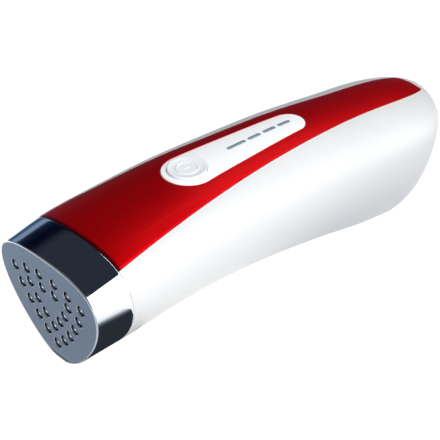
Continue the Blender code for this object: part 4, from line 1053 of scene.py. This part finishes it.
def bar_outline(start, end):
    """A bar's outline; its front end is a hair wider."""
    return start + BAR_HALF_WIDTH, end - BAR_HALF_WIDTH, BAR_HALF_WIDTH * BAR_TAPER, BAR_HALF_WIDTH


def make_panel():
    """The white inlay: a drop-shaped slab with a rounded rim, a lip under the cover and four posts."""
    panel = crowned_slab("control_panel_inlay", PANEL_OUTLINE, PANEL_PROUD, PANEL_PROUD + WALL + PANEL_FOOT,
                         PANEL_RIM, PANEL_CELLS, PANEL_END_ROWS, PANEL_ROWS)
    wide = (PANEL_WIDE_Y, PANEL_NARROW_Y, PANEL_WIDE_RADIUS + PANEL_LIP, PANEL_NARROW_RADIUS + PANEL_LIP)
    lip = crowned_slab("panel_lip", wide, -WALL - FIT_GAP, PANEL_LIP_DEPTH, LIP_RIM, LIP_CELLS, LIP_CELLS,
                       LIP_ROWS)
    carve(panel, lip, "UNION")
    post = lathe("panel_post", POST_PROFILE, SMALL_SIDES)
    posts = [turned_copy(post, PANEL_AXES @ Matrix.Translation((x, y, 0.0)))
             for x in (-POST_SIDE, POST_SIDE) for y in POST_PLACES]
    bpy.data.objects.remove(post, do_unlink=True)
    carve(panel, gathered(posts, "panel_posts"), "UNION")
    well = lathe("key_well", [(BUTTON_RADIUS + gap, height) for gap, height in WELL], BUTTON_SIDES)
    well.data.transform(PANEL_AXES)
    carve(panel, well)
    for start, end in bar_spans():
        carve(panel, crowned_cutter("bar_slot", *bar_outline(start, end), BAR_CLEARANCE, SLOT_FLARE,
                                    SLOT_DEPTH, BAR_END_ROWS, SLOT_ROWS))
    smooth(panel, 32)
    lay_down(panel, "device_body", "white_panel", WHITE_PANEL, "control_panel")


def make_key():
    """The round key: a dished top with a raised ring and a short raised stroke, a flange and a stem."""
    top, floor = BUTTON_PROUD, BUTTON_PROUD - BUTTON_DISH
    crest = floor + BUTTON_RING_RISE
    inner, outer = (BUTTON_RING_RADIUS + side * BUTTON_RING_WIDTH / 2 for side in (-1, 1))
    soft = BUTTON_SOFT
    flat = BUTTON_RADIUS - BUTTON_EDGE
    edge = [(BUTTON_RADIUS - BUTTON_EDGE * (1 - math.sin(a)), top - BUTTON_EDGE * (1 - math.cos(a)))
            for a in np.linspace(0, math.pi / 2, BUTTON_EDGE_ROWS)]
    dish = [(r, floor + (top - floor) * ((r - outer) / (flat - outer)) ** 2)
            for r in np.linspace(outer + soft, flat, BUTTON_DISH_ROWS)[:-1]]
    profile = [(BUTTON_HUB, floor), (inner - soft, floor), (inner, floor + soft), (inner + soft / 2, crest),
               (outer - soft / 2, crest), (outer, floor + soft)] + dish + edge
    flange = BUTTON_RADIUS + BUTTON_FLANGE
    profile += [(BUTTON_RADIUS, -BUTTON_SKIRT), (flange, -BUTTON_SKIRT), (flange, -BUTTON_FLANGE_FOOT),
                (BUTTON_STEM, -BUTTON_FLANGE_FOOT), (BUTTON_STEM, -BUTTON_STEM_FOOT)]
    key = lathe("power_key_cap", profile, BUTTON_SIDES)
    stroke = cube("key_stroke", STROKE, (0.0, 0.0, crest - STROKE[2] / 2), STROKE_EDGE)
    carve(key, stroke, "UNION")
    smooth(key, 40)
    key.data.transform(PANEL_AXES)
    lay_down(key, "power_key", "white_button", WHITE_KEY, "power_button")


def make_light_bars():
    for number, (start, end) in enumerate(bar_spans(), 1):
        bar = crowned_slab(f"light_pipe_{number}", bar_outline(start, end), PANEL_PROUD + BAR_PROUD,
                           PANEL_PROUD + BAR_PROUD + BAR_DEPTH, BAR_RIM, BAR_CELLS, BAR_END_ROWS, BAR_ROWS)
        smooth(bar)
        lay_down(bar, "device_body", "light_bar", LIGHT_BAR, f"light_bar_{number}")


# Table, light and camera

def look_at(thing, place, target, roll=0.0):
    direction = Vector(target) - Vector(place)
    turn = direction.to_track_quat("-Z", "Y").to_matrix().to_4x4() @ Matrix.Rotation(roll, 4, "Z")
    thing.matrix_world = Matrix.Translation(place) @ turn


def soft_light(name, place, size, power, target=(0.0, 0.0, 0.02)):
    light = bpy.data.lights.new(name, "AREA")
    light.shape = "RECTANGLE"
    light.size = light.size_y = size
    light.energy = power
    lamp = bpy.data.objects.new(name, light)
    lamp.visible_glossy = False
    bpy.context.scene.collection.objects.link(lamp)
    look_at(lamp, place, target)


def card_finish(name, stops, axis=2, low=0.0, high=TENT_RADIUS):
    """A card's glow: one colour, or colours at shares of the way from low to high along an axis."""
    finish = Finish(name, base_color=(0.0, 0.0, 0.0), roughness=1.0, specular_ior_level=0.0,
                    emission_strength=1.0)
    if len(stops) == 1:
        finish.set(emission_color=stops[0][1])
    else:
        share = (finish.parts(finish.place())[axis] - low) / (high - low)
        finish.set(emission_color=finish.add("ShaderNodeValToRGB", {"stops": stops}, {"Fac": share}, "Color"))
    return finish.material


def keep_out_of_sight(card, in_gloss=True):
    """Shows a card only in glossy reflections, or lets it light only dull surfaces."""
    card.visible_camera = card.visible_shadow = card.visible_transmission = False
    card.visible_glossy, card.visible_diffuse = in_gloss, not in_gloss


def tent_card(name, bearings, rises, stops, radius=TENT_RADIUS):
    """A piece of a tent round the device, between two bearings from +x and two rises, in degrees."""
    bpy.ops.mesh.primitive_uv_sphere_add(segments=180, ring_count=90, radius=radius)
    card = added(name)
    x, y, z = read(card.data.polygons, "center").T
    bearing = np.degrees(np.arctan2(y, x))
    bearing = np.where(bearing < bearings[0], bearing + 360, bearing)
    rise = np.degrees(np.arctan2(z, np.hypot(x, y)))
    pick(card, "FACE", (bearing > bearings[1]) | (rise < rises[0]) | (rise > rises[1]))
    bpy.ops.mesh.delete(type="FACE")
    shut()
    card.data.materials.append(card_finish(name, stops))
    keep_out_of_sight(card)


def floor_card(name, low, high, height, stops, axis=0, in_gloss=True):
    """A card lying just over the table between two corners, its glow changing across it along x or y."""
    bpy.ops.mesh.primitive_plane_add(size=1)
    card = added(name)
    middle = ((low[0] + high[0]) / 2, (low[1] + high[1]) / 2, height)
    size = (high[0] - low[0], high[1] - low[1], 1, 1)
    card.data.transform(Matrix.Translation(middle) @ Matrix.Diagonal(size))
    card.data.materials.append(card_finish(name, stops, axis, low[axis], high[axis]))
    keep_out_of_sight(card, in_gloss)


def make_table():
    bpy.ops.mesh.primitive_plane_add(size=TABLE_SIZE)
    table = added("table_top")
    finish = Finish("pale_table")
    mottle = finish.noise(0.15, 2.0)
    finish.set(base_color=finish.blend(mottle, (0.12, 0.12, 0.12), (0.10, 0.10, 0.10)),
               roughness=(mottle * 0.1 + 0.75), specular_ior_level=0.1,
               emission_color=finish.blend(mottle, (0.95, 0.95, 0.955), (0.97, 0.97, 0.97)),
               emission_strength=1.0)
    table.data.materials.append(finish.material)


def make_world():
    world = bpy.data.worlds.new("studio_air")
    world.use_nodes = True
    air = world.node_tree.nodes["Background"].inputs
    air["Color"].default_value = AIR_COLOUR
    air["Strength"].default_value = AIR_GLOW
    bpy.context.scene.world = world


def make_camera():
    data = bpy.data.cameras.new("photo_camera")
    data.lens = CAMERA_LENS
    data.sensor_width = 36.0
    camera = bpy.data.objects.new("photo_camera", data)
    bpy.context.scene.collection.objects.link(camera)
    look_at(camera, CAMERA_PLACE, CAMERA_TARGET, CAMERA_ROLL)
    bpy.context.scene.camera = camera


make_table()
make_world()
make_camera()
soft_light("key_light", (0.71, -0.10, 0.71), 0.8, 9.4)
soft_light("fill_light", (-0.6, 0.6, 0.5), 0.8, 0.8)
soft_light("tail_light", (0.40, 0.62, 0.16), 0.4, 1.2, (0.0, 0.07, 0.02))
soft_light("top_light", (0.10, 0.0, 1.0), 0.8, 4.0)
soft_light("head_light", (0.26, -0.20, 0.10), 0.12, 0.30, (0.02, -0.06, 0.02))

# Tent and floor cards, their glow in stops up the tent or across the card
DARK_TOP = [(0.57, (0.001, 0.003, 0.011)), (0.63, (0.004, 0.005, 0.014)), (0.69, NAVY)]
tent_card("far_head_flag", (157, 210), (0, 64),
          [(0.0, (0.04, 0.09, 0.15)), (0.15, (0.05, 0.11, 0.18)), (0.24, (0.20, 0.28, 0.42)),
           (0.35, (0.20, 0.27, 0.40)), (0.40, (0.018, 0.036, 0.062)), (0.45, (0.007, 0.013, 0.026))]
          + DARK_TOP)
tent_card("far_flag", (70, 157), (0, 64),
          [(0.0, (0.05, 0.07, 0.11)), (0.24, (0.02, 0.03, 0.05)), (0.45, (0.007, 0.013, 0.026))] + DARK_TOP)
tent_card("side_card", (45, 132), (42, 67), [(0.64, (0.5, 0.5, 0.5)), (0.76, (2.3, 2.3, 2.3))], 1.9)
tent_card("top_flag", (-60, 300), (64, 90), [(0.0, NAVY)])
tent_card("right_card", (-20, 70), (0, 64), [(0.0, (2.5, 2.5, 2.55))])
floor_card("face_card", (-0.30, -0.32), (0.10, -0.0795), 0.0004,
           [(0.45, (1.25, 1.30, 1.35)), (0.575, (0.66, 0.74, 0.84)), (0.75, (0.54, 0.61, 0.70))])
floor_card("head_flag", (-0.02, -0.079), (0.080, -0.050), 0.0006,
           [(0.0, (0.020, 0.025, 0.032)), (0.66, (0.024, 0.030, 0.038)), (0.74, (0.10, 0.12, 0.14)),
            (0.82, (0.45, 0.50, 0.54)), (0.90, (1.0, 1.0, 1.0))])
floor_card("far_floor_flag", (-3.0, -0.079), (-0.045, 3.5), 0.0006,
           [(0.0, (0.03, 0.05, 0.09)), (0.90, (0.046, 0.116, 0.21)), (0.948, (0.12, 0.20, 0.30)),
            (0.966, (1.0, 1.05, 1.1))])
floor_card("under_card", (-0.06, -0.04), (0.16, 0.13), 0.0008,
           [(0.0, (1.8, 1.8, 1.8)), (0.14, (1.4, 1.4, 1.4)), (0.22, (0.9, 0.92, 0.95)),
            (0.32, (0.46, 0.52, 0.60)), (1.0, (0.80, 0.83, 0.88))], axis=1, in_gloss=False)
floor_card("far_head_card", (-0.9, -0.079), (-0.14, 0.03), 0.0010, [(0.0, (1.0, 1.05, 1.1))])

make_treatment_plate()
make_emitters()
make_chrome_collar()
make_red_cover()
make_white_shell()
make_power_socket()
make_panel()
make_key()
make_light_bars()

for finish, names in CARRIED_OVER:
    for name in names:
        dress(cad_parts[name], finish)

bpy.context.scene.view_settings.view_transform = "Standard"
